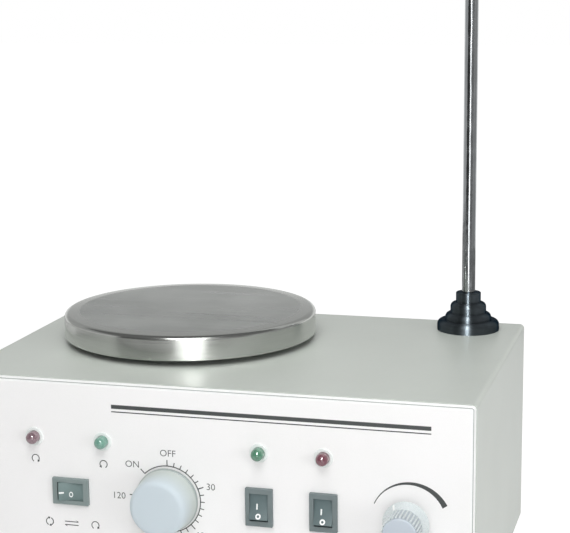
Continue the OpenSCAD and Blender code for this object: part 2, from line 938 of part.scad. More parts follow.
module rod_collar() {
    r = rod_collar_d / 2;
    edge = 0.3;
    color(gloss_black)
        translate([rod_x, rod_y, z_rod_base_top])
            rotate_extrude()
                polygon([
                    [rod_thread_d / 2, 0], [r, 0], [r, rod_collar_h - edge],
                    [r - edge, rod_collar_h], [rod_thread_d / 2, rod_collar_h]
                ]);
}

module rod_nut() {
    color(zinc)
        translate([rod_x, rod_y, z_cover_under - rod_nut_h])
            linear_extrude(rod_nut_h)
                difference() {
                    hexagon(rod_nut_af);
                    circle(d = rod_thread_d);
                }
}

// Stirring drive

// Places a shape at the four motor screws
module at_motor_screws(z) {
    for (i = [0 : 3])
        translate([plate_x, plate_y, z])
            rotate(45 + 90 * i)
                translate([motor_screw_circle_d / 2, 0, 0])
                    children();
}

module motor_bracket() {
    leg_h = z_bracket_top - z_body;
    foot_l = bracket_t + bracket_foot_w;
    color(zinc)
        difference() {
            translate([plate_x, plate_y + bracket_d / 2, z_body])
                rotate([90, 0, 0])
                    linear_extrude(bracket_d) {
                        translate([-bracket_half - bracket_t, leg_h - bracket_t])
                            square([2 * (bracket_half + bracket_t), bracket_t]);
                        for (side = [-1, 1])
                            translate([side * (bracket_half + bracket_t / 2), leg_h / 2])
                                square([bracket_t, leg_h], center = true);
                        for (side = [-1, 1])
                            translate([side * (bracket_half + foot_l / 2), bracket_t / 2])
                                square([foot_l, bracket_t], center = true);
                    }
            translate([plate_x, plate_y, z_motor_top - cut])
                cylinder(d = boss_d + 2 * fit_gap, h = bracket_t + 2 * cut);
            at_motor_screws(z_motor_top - cut)
                cylinder(d = motor_screw_d + 2 * fit_gap, h = bracket_t + 2 * cut);
            at_points(bracket_points, z_body - cut)
                cylinder(d = screw_d, h = bracket_t + 2 * cut);
        }
}

module motor_case() {
    color(motor_grey)
        difference() {
            translate([plate_x, plate_y, z_motor_under]) {
                cylinder(d = motor_d, h = motor_l);
                cylinder(d = boss_d, h = motor_l + bracket_t);
            }
            translate([plate_x, plate_y, z_motor_under + bell_t])
                cylinder(d = motor_bore_d, h = motor_l - 2 * bell_t);
            translate([plate_x, plate_y, z_motor_under - cut])
                cylinder(d = bearing_d, h = motor_l + bracket_t + 2 * cut);
            at_motor_screws(z_bracket_top - motor_screw_l)
                cylinder(d = motor_screw_d, h = motor_screw_l + cut);
        }
}

module motor_screws() {
    color(zinc)
        at_motor_screws(z_bracket_top)
            rotate([180, 0, 0])
                screw(motor_screw_d, motor_screw_l);
}

module motor_stator() {
    color(magnet_grey)
        translate([plate_x, plate_y, z_rotor_mid - stator_l / 2])
            ring(motor_bore_d, stator_bore_d, stator_l);
}

module motor_windings() {
    color(copper)
        for (z = [z_rotor_mid - stator_l / 2 - winding_h, z_rotor_mid + stator_l / 2])
            translate([plate_x, plate_y, z])
                ring(motor_bore_d - 2 * motor_wall, stator_bore_d + 2 * motor_wall, winding_h);
}

module motor_bearings() {
    color(bronze) {
        translate([plate_x, plate_y, z_motor_under])
            ring(bearing_d, shaft_d + 2 * run_gap, bell_t);
        translate([plate_x, plate_y, z_motor_top - bell_t])
            ring(bearing_d, shaft_d + 2 * run_gap, bell_t + bracket_t);
    }
}

module motor_rotor() {
    color(zinc)
        translate([plate_x, plate_y, z_rotor_mid - stator_l / 2])
            ring(rotor_d, shaft_d, stator_l);
}

module motor_shaft() {
    color(chrome)
        translate([plate_x, plate_y, shaft_under_z])
            cylinder(d = shaft_d, h = shaft_top_z - shaft_under_z);
}

module magnet_carrier() {
    pad_d = magnet_d + 2 * carrier_rim;
    color(aluminium)
        translate([plate_x, plate_y, z_carrier_under])
            difference() {
                union() {
                    linear_extrude(carrier_t) {
                        square([magnet_pitch, arm_w], center = true);
                        for (side = [-1, 1])
                            translate([side * magnet_pitch / 2, 0])
                                circle(d = pad_d);
                        circle(d = pad_d);
                    }
                    translate([0, 0, -hub_l])
                        cylinder(d = hub_d, h = hub_l + carrier_t / 2);
                }
                translate([0, 0, -hub_l - cut])
                    cylinder(d = shaft_d, h = hub_l + carrier_t + 2 * cut);
                for (side = [-1, 1])
                    translate([side * magnet_pitch / 2, 0, carrier_t - magnet_seat])
                        cylinder(d = magnet_d, h = magnet_seat + cut);
            }
}

module drive_magnets() {
    color(magnet_grey)
        for (side = [-1, 1])
            translate([plate_x + side * magnet_pitch / 2, plate_y, z_magnet_under])
                cylinder(d = magnet_d, h = magnet_h);
}

// Timer and speed control

// Cross-section of a knob's shaft, with its flat
module spindle_section() {
    difference() {
        circle(d = spindle_d);
        translate([-spindle_d / 2, spindle_d / 2 - spindle_flat])
            square([spindle_d, spindle_d]);
    }
}

// Shaft of a knob: round in its bush and flattened from there to its tip
module spindle(tip) {
    inside_l = panel_depth + spindle_bearing_l - run_gap;
    translate([0, 0, -inside_l])
        cylinder(d = spindle_d, h = inside_l + bush_l);
    linear_extrude(tip)
        spindle_section();
}

// Threaded bush standing out of a control's case, drilled for the shaft
module bush() {
    translate([0, 0, -panel_depth - cut])
        cylinder(d = bush_d, h = panel_depth + bush_l + cut);
}

module bush_bore() {
    translate([0, 0, -panel_depth - spindle_bearing_l])
        cylinder(d = spindle_d + 2 * run_gap, h = panel_depth + spindle_bearing_l + bush_l + cut);
}

module timer_case() {
    lid_t = 4;
    lid_lap = 1.5;
    case_corner_r = 3;
    box_w = timer_case_w - 2 * lid_lap;
    color(case_black)
        on_front(timer_x, z_controls)
            difference() {
                union() {
                    bush();
                    translate([0, 0, -panel_depth - lid_t])
                        linear_extrude(lid_t)
                            round_rect(timer_case_w, timer_case_w, case_corner_r);
                    translate([0, 0, -panel_depth - timer_case_l])
                        linear_extrude(timer_case_l)
                            round_rect(box_w, box_w, case_corner_r);
                }
                bush_bore();
            }
}

module timer_shaft() {
    color(chrome)
        on_front(timer_x, z_controls)
            spindle(timer_tip);
}

module timer_knob() {
    back = timer_gap;
    front = timer_gap + timer_knob_l;
    edge = [timer_face_d / 2 - timer_edge_r, front - timer_edge_r];
    color(frosted_blue)
        on_front(timer_x, z_controls)
            difference() {
                rotate_extrude()
                    polygon(concat(
                        [[0, back], [timer_skirt_d / 2, back], [timer_skirt_d / 2, back + timer_skirt_h],
                        [timer_knob_d / 2, back + timer_skirt_h]],
                        corner(edge, timer_edge_r, 0, 90),
                        [[0, front]]
                    ));
                translate([0, 0, back - cut])
                    cylinder(d = timer_recess_d, h = timer_recess_h + cut);
                linear_extrude(timer_tip)
                    spindle_section();
            }
}

module speed_control() {
    color(zinc)
        on_front(speed_x, z_speed)
            difference() {
                union() {
                    bush();
                    translate([0, 0, -panel_depth - speed_case_l])
                        cylinder(d = speed_case_d, h = speed_case_l);
                }
                bush_bore();
            }
}

module speed_shaft() {
    color(chrome)
        on_front(speed_x, z_speed)
            spindle(speed_tip);
}

// Cross-section of the speed knob's grip, with flutes between its ribs
module fluted_section() {
    difference() {
        circle(d = speed_grip_d);
        for (i = [0 : flute_count - 1])
            rotate(360 * i / flute_count)
                translate([speed_grip_d / 2, 0])
                    circle(d = flute_d, $fn = 16);
    }
}

module speed_knob() {
    back = speed_gap;
    front = speed_gap + speed_knob_l;
    skirt_edge = 0.6;
    root_r = (speed_grip_d - flute_d) / 2;
    skirt = [speed_skirt_d / 2 - skirt_edge, back + speed_skirt_h - skirt_edge];
    grip = [root_r - speed_edge_r, front - speed_edge_r];
    ribs_from = back + speed_skirt_h / 2;
    ribs_to = front - speed_edge_r;
    color(frosted_blue)
        on_front(speed_x, z_speed)
            difference() {
                union() {
                    rotate_extrude()
                        polygon(concat(
                            [[0, back], [speed_skirt_d / 2, back]],
                            corner(skirt, skirt_edge, 0, 90),
                            [[root_r, back + speed_skirt_h]],
                            corner(grip, speed_edge_r, 0, 90),
                            [[0, front]]
                        ));
                    translate([0, 0, ribs_from])
                        linear_extrude(ribs_to - ribs_from)
                            fluted_section();
                }
                linear_extrude(speed_tip)
                    spindle_section();
            }
}

module bush_nuts() {
    color(zinc)
        for (p = knob_places)
            on_front(p[0], p[1])
                linear_extrude(bush_nut_t)
                    difference() {
                        hexagon(bush_nut_af);
                        circle(d = bush_d);
                    }
}

// Rocker switches

// Places a shape on a switch: drawn with its length along Y
module at_switch(i) {
    p = switch_places[i];
    on_front(p[0], p[1])
        rotate(p[2])
            children();
}

// Sloping lug on the end of a switch, which snaps in behind the panel
module snap_lug() {
    root = case_l / 2;
    catch_z = -panel_depth - lug_gap;
    translate([-lug_w / 2, 0, 0])
        rotate([90, 0, 90])
            linear_extrude(lug_w)
                polygon([
                    [root - lug_out, catch_z], [root + lug_out, catch_z],
                    [root, catch_z - lug_h], [root - lug_out, catch_z - lug_h]
                ]);
}

module switch_case(i) {
    bezel_bevel = 0.25;
    bezel_corner_r = 0.4;
    cavity_h = rocker_pivot + rocker_r + fit_gap;
    color(switch_grey)
        at_switch(i)
            difference() {
                union() {
                    bevelled_plate(switch_w, switch_l, bezel_corner_r, bezel_h, bezel_bevel);
                    translate([0, 0, -switch_depth])
                        linear_extrude(switch_depth + bezel_h / 2)
                            square([case_w, case_l], center = true);
                    for (end = [0, 180])
                        rotate(end)
                            snap_lug();
                }
                translate([0, 0, -cavity_h])
                    linear_extrude(cavity_h + bezel_h + cut)
                        square([rocker_hole_w, rocker_hole_l], center = true);
                translate([0, 0, -rocker_pivot])
                    rotate([0, 90, 0])
                        cylinder(
                            d = rocker_pin_d + 2 * run_gap,
                            h = rocker_hole_w + 2 * (rocker_pin_l + run_gap), center = true
                        );
            }
}

module direction_switch() {
    switch_case(0);
}

module stir_switch() {
    switch_case(1);
}

module heat_switch() {
    switch_case(2);
}

// Rocker about its pivot: round ends, a flat foot and a hollow face that dips to the middle
module rocker(i, tilt) {
    dip = rocker_dip + rocker_pivot;
    rise = rocker_r * tan(rocker_tilt);
    face_r = (pow(rocker_r, 2) + pow(rise, 2)) / (2 * rise);
    pins_l = rocker_w + 2 * (fit_gap + rocker_pin_l);
    color(switch_grey)
        at_switch(i)
            translate([0, 0, -rocker_pivot])
                rotate([tilt, 0, 0]) {
                    rotate([0, 90, 0])
                        cylinder(d = rocker_pin_d, h = pins_l, center = true);
                    rotate([90, 0, 90])
                        translate([0, 0, -rocker_w / 2])
                            linear_extrude(rocker_w)
                                difference() {
                                    circle(rocker_r);
                                    translate([0, dip + face_r])
                                        circle(face_r);
                                    translate([-rocker_r, -rocker_skirt - rocker_r])
                                        square([2 * rocker_r, rocker_r]);
                                }
                }
}

module direction_rocker() {
    rocker(0, rocker_tilt);
}

module stir_rocker() {
    rocker(1, -rocker_tilt);
}

module heat_rocker() {
    rocker(2, -rocker_tilt);
}

module switch_terminals() {
    tab_w = 4.8;
    tab_t = 0.8;
    tab_pitch = 6;
    color(brass)
        for (i = [0 : 2])
            at_switch(i)
                for (y = tab_pitch * (i == 0 ? [-1, 0, 1] : [-1, 1]))
                    translate([-tab_w / 2, y - tab_t / 2, -switch_depth - terminal_l])
                        cube([tab_w, tab_t, terminal_l]);
}

// Lamps

module lamp_bezels() {
    color(clear_white)
        for (p = lamp_places)
            on_front(p[0], p[1])
                difference() {
                    union() {
                        cylinder(d = lamp_bezel_d, h = lamp_bezel_h);
                        translate([0, 0, -lamp_tube_l])
                            cylinder(d = lamp_tube_d, h = lamp_tube_l + lamp_bezel_h / 2);
                    }
                    translate([0, 0, -lamp_tube_l - cut])
                        cylinder(d = lens_d, h = lamp_tube_l + lamp_bezel_h + 2 * cut);
                }
}

// Lens with a domed end
module lens(i, shade) {
    r = lens_d / 2;
    p = lamp_places[i];
    color(shade)
        on_front(p[0], p[1])
            rotate_extrude()
                polygon(concat([[0, -lens_tail], [r, -lens_tail]], corner([0, lens_h - r], r, 0, 90)));
}

module forward_lamp() {
    lens(0, lamp_red);
}

module reverse_lamp() {
    lens(1, lamp_green);
}

module stir_lamp() {
    lens(2, lamp_green);
}

module heat_lamp() {
    lens(3, lamp_red);
}

// Electrics

module circuit_board() {
    color(board_green)
        translate([0, 0, z_board_under])
            linear_extrude(board_t)
                difference() {
                    translate([board_x, board_y])
                        square([board_w, board_l], center = true);
                    for (p = post_points)
                        translate(p)
                            circle(d = post_stud_d);
                }
}

module board_posts() {
    color(ceramic_white)
        at_points(post_points, z_body)
            difference() {
                union() {
                    cylinder(d = post_d, h = post_h);
                    cylinder(d = post_stud_d, h = post_h + post_stud_l);
                }
                translate([0, 0, -cut])
                    cylinder(d = screw_d, h = screw_tip + cut);
            }
}

module transformer() {
    core_w = 44;
    core_d = 18;
    core_h = 38;
    bobbin_w = 28;
    bobbin_l = 34;
    bobbin_h = 26;
    bobbin_r = 4;
    color(motor_grey)
        translate([board_x, board_y - board_l / 4, z_board_top])
            union() {
                linear_extrude(core_h)
                    square([core_w, core_d], center = true);
                translate([0, bobbin_l / 2, core_h / 2])
                    rotate([90, 0, 0])
                        linear_extrude(bobbin_l)
                            round_rect(bobbin_w, bobbin_h, bobbin_r);
            }
}

module board_parts() {
    can_d = 16;
    can_h = 25;
    relay_w = 19;
    relay_d = 15.5;
    relay_h = 15.5;
    sink_w = 40;
    sink_t = 3;
    fin_l = 10;
    sink_h = 28;
    fin_count = 6;
    can_pitch = 47;
    y_cans = board_y + board_l / 8;
    y_sink = board_y + board_l / 3;
    color(case_black) {
        for (side = [-1, 1])
            translate([board_x + side * can_pitch / 2, y_cans, z_board_top])
                cylinder(d = can_d, h = can_h);
        translate([board_x, y_cans, z_board_top])
            linear_extrude(relay_h)
                square([relay_w, relay_d], center = true);
        translate([board_x, y_sink, z_board_top])
            linear_extrude(sink_h) {
                square([sink_w, sink_t], center = true);
                for (i = [0 : fin_count - 1])
                    translate([(i / (fin_count - 1) - 0.5) * (sink_w - sink_t), fin_l / 2])
                        square([sink_t / 2, fin_l], center = true);
            }
    }
}

// Outline of the mains socket, with two corners cut off
module socket_outline() {
    w = socket_w / 2;
    h = socket_h / 2;
    polygon([
        [-w, -h], [w, -h], [w, h - socket_chamfer], [w - socket_chamfer, h],
        [socket_chamfer - w, h], [-w, h - socket_chamfer]
    ]);
}

// Cross-sections of the three contact blades
module blade_sections() {
    for (p = blade_places)
        translate(p)
            square([blade_w, blade_h], center = true);
}

module power_inlet() {
    floor_z = inlet_flange_t - socket_depth;
    color(case_black)
        on_rear(inlet_x, z_inlet)
            difference() {
                union() {
                    linear_extrude(inlet_flange_t)
                        round_rect(inlet_flange_w, inlet_flange_h, inlet_corner_r);
                    translate([0, 0, -inlet_depth])
                        linear_extrude(inlet_depth + inlet_flange_t / 2)
                            square([inlet_body_w, inlet_body_h], center = true);
                }
                translate([0, 0, floor_z])
                    linear_extrude(socket_depth + cut)
                        socket_outline();
                translate([0, 0, -inlet_depth - cut])
                    linear_extrude(inlet_depth + cut)
                        blade_sections();
                for (side = [-1, 1])
                    translate([side * inlet_screw_pitch / 2, 0, -cut])
                        cylinder(d = inlet_screw_d + 2 * fit_gap, h = inlet_flange_t + 2 * cut);
            }
}

module inlet_pins() {
    tail_z = -inlet_depth - blade_tail;
    color(brass)
        on_rear(inlet_x, z_inlet)
            translate([0, 0, tail_z])
                linear_extrude(inlet_flange_t - blade_recess - tail_z)
                    blade_sections();
}

module inlet_screws() {
    color(zinc)
        on_rear(inlet_x, z_inlet)
            for (side = [-1, 1])
                translate([side * inlet_screw_pitch / 2, 0, inlet_flange_t])
                    rotate([180, 0, 0])
                        screw(inlet_screw_d, inlet_flange_t + panel_t + inlet_screw_tip);
}

module fuse_holder() {
    color(case_black)
        on_rear(fuse_x, z_inlet)
            difference() {
                union() {
                    cylinder(d = fuse_flange_d, h = fuse_flange_t);
                    translate([0, 0, -fuse_depth])
                        cylinder(d = fuse_body_d, h = fuse_depth + fuse_flange_t / 2);
                }
                translate([0, 0, fuse_flange_t - fuse_bore_l])
                    cylinder(d = fuse_bore_d, h = fuse_bore_l + cut);
            }
}

module fuse_nut() {
    color(case_black)
        on_rear(fuse_x, z_inlet)
            translate([0, 0, -panel_t - fuse_nut_t])
                linear_extrude(fuse_nut_t)
                    difference() {
                        hexagon(fuse_nut_af);
                        circle(d = fuse_body_d);
                    }
}

module fuse_cap() {
    slot_w = 1.4;
    slot_depth = 1.5;
    color(case_black)
        on_rear(fuse_x, z_inlet)
            difference() {
                union() {
                    translate([0, 0, fuse_flange_t])
                        cylinder(d = fuse_cap_d, h = fuse_cap_l);
                    translate([0, 0, fuse_flange_t - fuse_bore_l])
                        cylinder(d = fuse_bore_d, h = fuse_bore_l + fuse_cap_l / 2);
                }
                translate([0, 0, fuse_flange_t + fuse_cap_l])
                    cube([fuse_cap_d + cut, slot_w, 2 * slot_depth], center = true);
            }
}

housing_cover();
front_panel();
panel_overlay();
rear_panel();
base_plate();
rubber_feet();
foot_screws();
base_screws();
hotplate();
heat_spreader();
heating_element();
insulation_disc();
clamp_plate();
plate_studs();
plate_spacers();
plate_nuts();
support_rod();
rod_base();
rod_collar();
rod_nut();
motor_bracket();
motor_case();
motor_screws();
motor_stator();
motor_windings();
motor_bearings();
motor_rotor();
motor_shaft();
magnet_carrier();
drive_magnets();
timer_case();
timer_shaft();
timer_knob();
speed_control();
speed_shaft();
speed_knob();
bush_nuts();
direction_switch();
stir_switch();
heat_switch();
direction_rocker();
stir_rocker();
heat_rocker();
switch_terminals();
lamp_bezels();
forward_lamp();
reverse_lamp();
stir_lamp();
heat_lamp();
circuit_board();
board_posts();
transformer();
board_parts();
power_inlet();
inlet_pins();
inlet_screws();
fuse_holder();
fuse_nut();
fuse_cap();
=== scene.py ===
import json
import math

import bmesh
import bpy
from mathutils import Matrix, Vector


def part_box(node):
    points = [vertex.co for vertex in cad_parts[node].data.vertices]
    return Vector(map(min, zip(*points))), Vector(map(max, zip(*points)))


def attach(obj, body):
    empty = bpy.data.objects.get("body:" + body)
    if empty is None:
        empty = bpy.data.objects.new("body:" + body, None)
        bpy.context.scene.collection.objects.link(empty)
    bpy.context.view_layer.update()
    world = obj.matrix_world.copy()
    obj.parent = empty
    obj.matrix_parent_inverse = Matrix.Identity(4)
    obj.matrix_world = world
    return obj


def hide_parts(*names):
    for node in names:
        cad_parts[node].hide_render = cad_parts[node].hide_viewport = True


# A hotplate stirrer in a folded sheet housing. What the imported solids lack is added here: the finishes,
# the printed front, the marks on the rockers, and finer forms of the plate, knobs, rockers and lamp rings.

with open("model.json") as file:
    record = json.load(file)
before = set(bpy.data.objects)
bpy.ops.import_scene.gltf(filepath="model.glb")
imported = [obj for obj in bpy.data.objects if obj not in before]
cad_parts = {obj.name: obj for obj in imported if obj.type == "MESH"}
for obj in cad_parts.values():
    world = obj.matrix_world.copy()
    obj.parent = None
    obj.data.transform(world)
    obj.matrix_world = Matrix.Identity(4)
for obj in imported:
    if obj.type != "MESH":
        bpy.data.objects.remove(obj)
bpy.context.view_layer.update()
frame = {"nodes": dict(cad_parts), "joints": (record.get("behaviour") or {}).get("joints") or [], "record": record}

MM = 0.001
FACE_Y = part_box("panel_overlay")[0].y   # the film's face, in metres
AXIS = {joint["name"]: Vector(joint["pos_m"]) for joint in frame["joints"]}
PRINT_T = 0.05      # ink stands this far off the film, in mm
PRINT_SUNK = 0.02   # and goes this far into it

scene = bpy.context.scene
scene.view_settings.view_transform = "Standard"


def linear(hex_colour):
    """An sRGB hex colour as the linear RGBA that Blender's sockets take."""
    parts = [int(hex_colour[i:i + 2], 16) / 255 for i in (0, 2, 4)]
    return [c / 12.92 if c <= 0.04045 else ((c + 0.055) / 1.055) ** 2.4 for c in parts] + [1.0]


def add_node(tree, kind, inputs=None, **settings):
    """Adds one node. An input is a value, or the socket that feeds it."""
    made = tree.nodes.new(kind)
    for key, value in settings.items():
        setattr(made, key, value)
    for key, value in (inputs or {}).items():
        if isinstance(value, bpy.types.NodeSocket):
            tree.links.new(value, made.inputs[key])
        else:
            made.inputs[key].default_value = value
    return made


# Camera and light, in metres and degrees

CAMERA_TURN = (15.777, 10.858, -0.612)      # to the object's right, downwards, and about the line of sight
CAMERA_SPOT = (0.2606, -0.84815, 0.3531)
CAMERA_LENS_MM = 99.44
CAMERA_SENSOR_MM = 36
ROOM_LIGHT = 0.4                            # the room's own soft light on the object
FLOOR_HALF = 6
FLOOR_LIFT = 0.86                           # glow that brings the lit floor up to white for the eye
LAMP_TARGET = (0, 0, 0.12)
STREAK_AZIMUTH = 17.1                       # where the lights stand that draw the streaks on the metal
OVERHEAD_SPOT = (0, -1.3, 0.8)
OVERHEAD_SIZE = (2.4, 1.7)

# Softboxes: name, azimuth, height, distance, width, tall, watts
SOFTBOXES = (
    ("main_softbox", 20, 0.97, 1.6, 1.1, 1.1, 5.5),
    ("fill_softbox", 8, 0.24, 1.6, 0.7, 0.7, 1.75),
    ("side_softbox", 58, 0.26, 1.6, 0.7, 0.7, 5.7),
    ("top_softbox", 10, 0.72, 0.47, 0.4, 0.4, 2.37),
)

# Cards for the metal to reflect: name, azimuth, distance, height of the lower edge, width, tall, shade, glow
CARDS = (
    # Strips, for the bright streaks on the rod, its base and the plate's skirt
    ("strip_light", STREAK_AZIMUTH, 0.6, 0, 0.07, 0.36, "FFFFFF", 5),
    ("high_strip", STREAK_AZIMUTH, 0.6, 0.37, 0.09, 0.6, "FFFFFF", 70),
    ("strip_glow", STREAK_AZIMUTH, 0.64, 0, 0.26, 0.5, "FFFFFF", 1.3),
    ("low_glow", STREAK_AZIMUTH, 0.62, 0, 0.26, 0.13, "FFFFFF", 2),
    # Dark cards beside them, for the rod's dark bands
    ("dark_card_left", -24, 0.68, 0, 0.69, 0.5, "484848", 1),
    ("dark_card_right", 50, 0.68, 0, 0.54, 0.5, "868686", 1),
    # Low cards all round, for the greys of the plate's skirt
    ("low_card_near_left", -10, 0.66, 0, 0.3, 0.07, "747474", 1),
    ("low_card_far_left", -42, 0.66, 0, 0.42, 0.07, "9A9A9A", 1),
    ("low_card_left", -82, 0.7, 0, 0.6, 0.07, "929292", 1),
    ("low_card_right", 50, 0.66, 0, 0.52, 0.07, "8A8A8A", 1),
    ("low_card_far_right", 97, 0.7, 0, 0.66, 0.07, "868686", 1),
    ("low_card_left_back", -135, 0.72, 0, 1.0, 0.07, "9A9A9A", 1),
    ("low_card_right_back", 155, 0.72, 0, 0.9, 0.07, "8E8E8E", 1),
    # Cards at the sides and behind, for the rod's edges and the plate's face
    ("grey_card_left", -83, 0.74, 0, 0.9, 0.6, "D2D2D2", 1),
    ("grey_card_right", 97, 0.74, 0, 0.95, 0.6, "AEAEAE", 1),
    ("grey_card_back", 197, 1.2, 0, 2.4, 1.5, "CACACA", 1),
    ("low_card_back", 197, 1.15, 0, 2.4, 0.34, "FFFFFF", 1.05),
)


def place_camera():
    """The photograph's view: slightly above the housing and to its right."""
    yaw, pitch, roll = (math.radians(angle) for angle in CAMERA_TURN)
    ahead = Vector((-math.sin(yaw) * math.cos(pitch), math.cos(yaw) * math.cos(pitch), -math.sin(pitch)))
    level = Vector((math.cos(yaw), math.sin(yaw), 0))
    upright = level.cross(ahead)
    right = math.cos(roll) * level + math.sin(roll) * upright
    up = math.cos(roll) * upright - math.sin(roll) * level
    data = bpy.data.cameras.new("camera")
    data.sensor_fit = "HORIZONTAL"
    data.sensor_width = CAMERA_SENSOR_MM
    data.lens = CAMERA_LENS_MM
    camera = bpy.data.objects.new("camera", data)
    turn = Matrix((right, up, -ahead)).transposed().to_4x4()
    camera.matrix_world = Matrix.Translation(Vector(CAMERA_SPOT)) @ turn
    scene.collection.objects.link(camera)
    scene.camera = camera


def facing(azimuth, height, distance, target):
    """Where a lamp or card stands: azimuth 0 is in front of the object and 90 on its right."""
    a = math.radians(azimuth)
    spot = Vector((math.sin(a) * distance, -math.cos(a) * distance, height))
    turn = (spot - Vector(target)).to_track_quat("Z", "Y")
    return Matrix.Translation(spot) @ turn.to_matrix().to_4x4()


def hang_softbox(name, azimuth, height, distance, width, tall, watts):
    """A soft rectangular lamp that faces the object."""
    data = bpy.data.lights.new(name, "AREA")
    data.shape = "RECTANGLE"
    data.size = width
    data.size_y = tall
    data.energy = watts
    lamp = bpy.data.objects.new(name, data)
    lamp.matrix_world = facing(azimuth, height, distance, LAMP_TARGET)
    scene.collection.objects.link(lamp)


def seen_by_eye(tree):
    """1 for rays that show the surroundings: straight to the camera, or by way of metal or glass."""
    path = add_node(tree, "ShaderNodeLightPath").outputs
    either = add_node(tree, "ShaderNodeMath", {0: path["Is Camera Ray"], 1: path["Is Glossy Ray"]},
                      operation="MAXIMUM")
    return add_node(tree, "ShaderNodeMath", {0: either.outputs[0], 1: path["Is Transmission Ray"]},
                    operation="MAXIMUM").outputs[0]


def set_world():
    """White to the eye, and a soft grey room as far as the light on the object goes."""
    scene.world = bpy.data.worlds.new("studio")
    scene.world.use_nodes = True
    tree = scene.world.node_tree
    tree.nodes.clear()
    room = add_node(tree, "ShaderNodeBackground", {"Color": linear("FFFFFF"), "Strength": ROOM_LIGHT})
    white = add_node(tree, "ShaderNodeBackground", {"Color": linear("FFFFFF"), "Strength": 1.0})
    both = add_node(tree, "ShaderNodeMixShader", {
        0: seen_by_eye(tree), 1: room.outputs[0], 2: white.outputs[0]})
    add_node(tree, "ShaderNodeOutputWorld", {"Surface": both.outputs[0]})


def bare_material(name):
    """A material with an empty node tree."""
    material = bpy.data.materials.new(name)
    material.use_nodes = True
    material.node_tree.nodes.clear()
    return material


def add_sheet(name, material, corners):
    """A flat sheet of the studio, which isn't part of the object."""
    mesh = bpy.data.meshes.new(name)
    mesh.from_pydata(corners, [], [(0, 1, 2, 3)])
    mesh.materials.append(material)
    sheet = bpy.data.objects.new(name, mesh)
    scene.collection.objects.link(sheet)
    return sheet


def lay_floor():
    """A pale floor, which is lifted to white for the eye and keeps a soft shadow."""
    material = bare_material("pale_floor")
    tree = material.node_tree
    matt = add_node(tree, "ShaderNodeBsdfDiffuse", {"Color": linear("E8E8E8")})
    soft = add_node(tree, "ShaderNodeBsdfDiffuse", {"Color": linear("A8A8A8")})
    lift = add_node(tree, "ShaderNodeEmission", {"Color": linear("FFFFFF"), "Strength": FLOOR_LIFT})
    lifted = add_node(tree, "ShaderNodeAddShader", {0: soft.outputs[0], 1: lift.outputs[0]})
    both = add_node(tree, "ShaderNodeMixShader", {
        0: seen_by_eye(tree), 1: matt.outputs[0], 2: lifted.outputs[0]})
    add_node(tree, "ShaderNodeOutputMaterial", {"Surface": both.outputs[0]})
    far = FLOOR_HALF
    add_sheet("floor", material, [(-far, -far, 0), (far, -far, 0), (far, far, 0), (-far, far, 0)])


def set_card(name, place, width, tall, shade, glow=1):
    """A card near the object, seen only in metal and gloss, as in a product studio."""
    material = bare_material(name)
    tree = material.node_tree
    felt = add_node(tree, "ShaderNodeEmission", {"Color": linear(shade), "Strength": glow})
    add_node(tree, "ShaderNodeOutputMaterial", {"Surface": felt.outputs[0]})
    x = width / 2
    card = add_sheet(name, material, [(-x, 0, 0), (x, 0, 0), (x, tall, 0), (-x, tall, 0)])
    card.matrix_world = place
    card.visible_camera = card.visible_diffuse = card.visible_shadow = card.visible_transmission = False


place_camera()
set_world()
lay_floor()
for softbox in SOFTBOXES:
    hang_softbox(*softbox)
for card_name, azimuth, distance, lower_edge, *look in CARDS:
    set_card(card_name, facing(azimuth, lower_edge, distance, (0, 0, lower_edge)), *look)
set_card("overhead_card", Matrix.Translation(OVERHEAD_SPOT), *OVERHEAD_SIZE, "868686")


# Finishes

CLOUD_DETAIL = 3.0
GRAIN_DETAIL = 2.0
TINT_SPAN = (0.7, 1.3)      # from dark to light, over the sum of cloud and grain
GLOSS_SPAN = (0.3, 0.7)     # from smooth to rough, over the grain
MIX_SHARE, MIX_FROM, MIX_TO, MIX_RESULT = 0, 6, 7, 2    # sockets of a mix of two colours


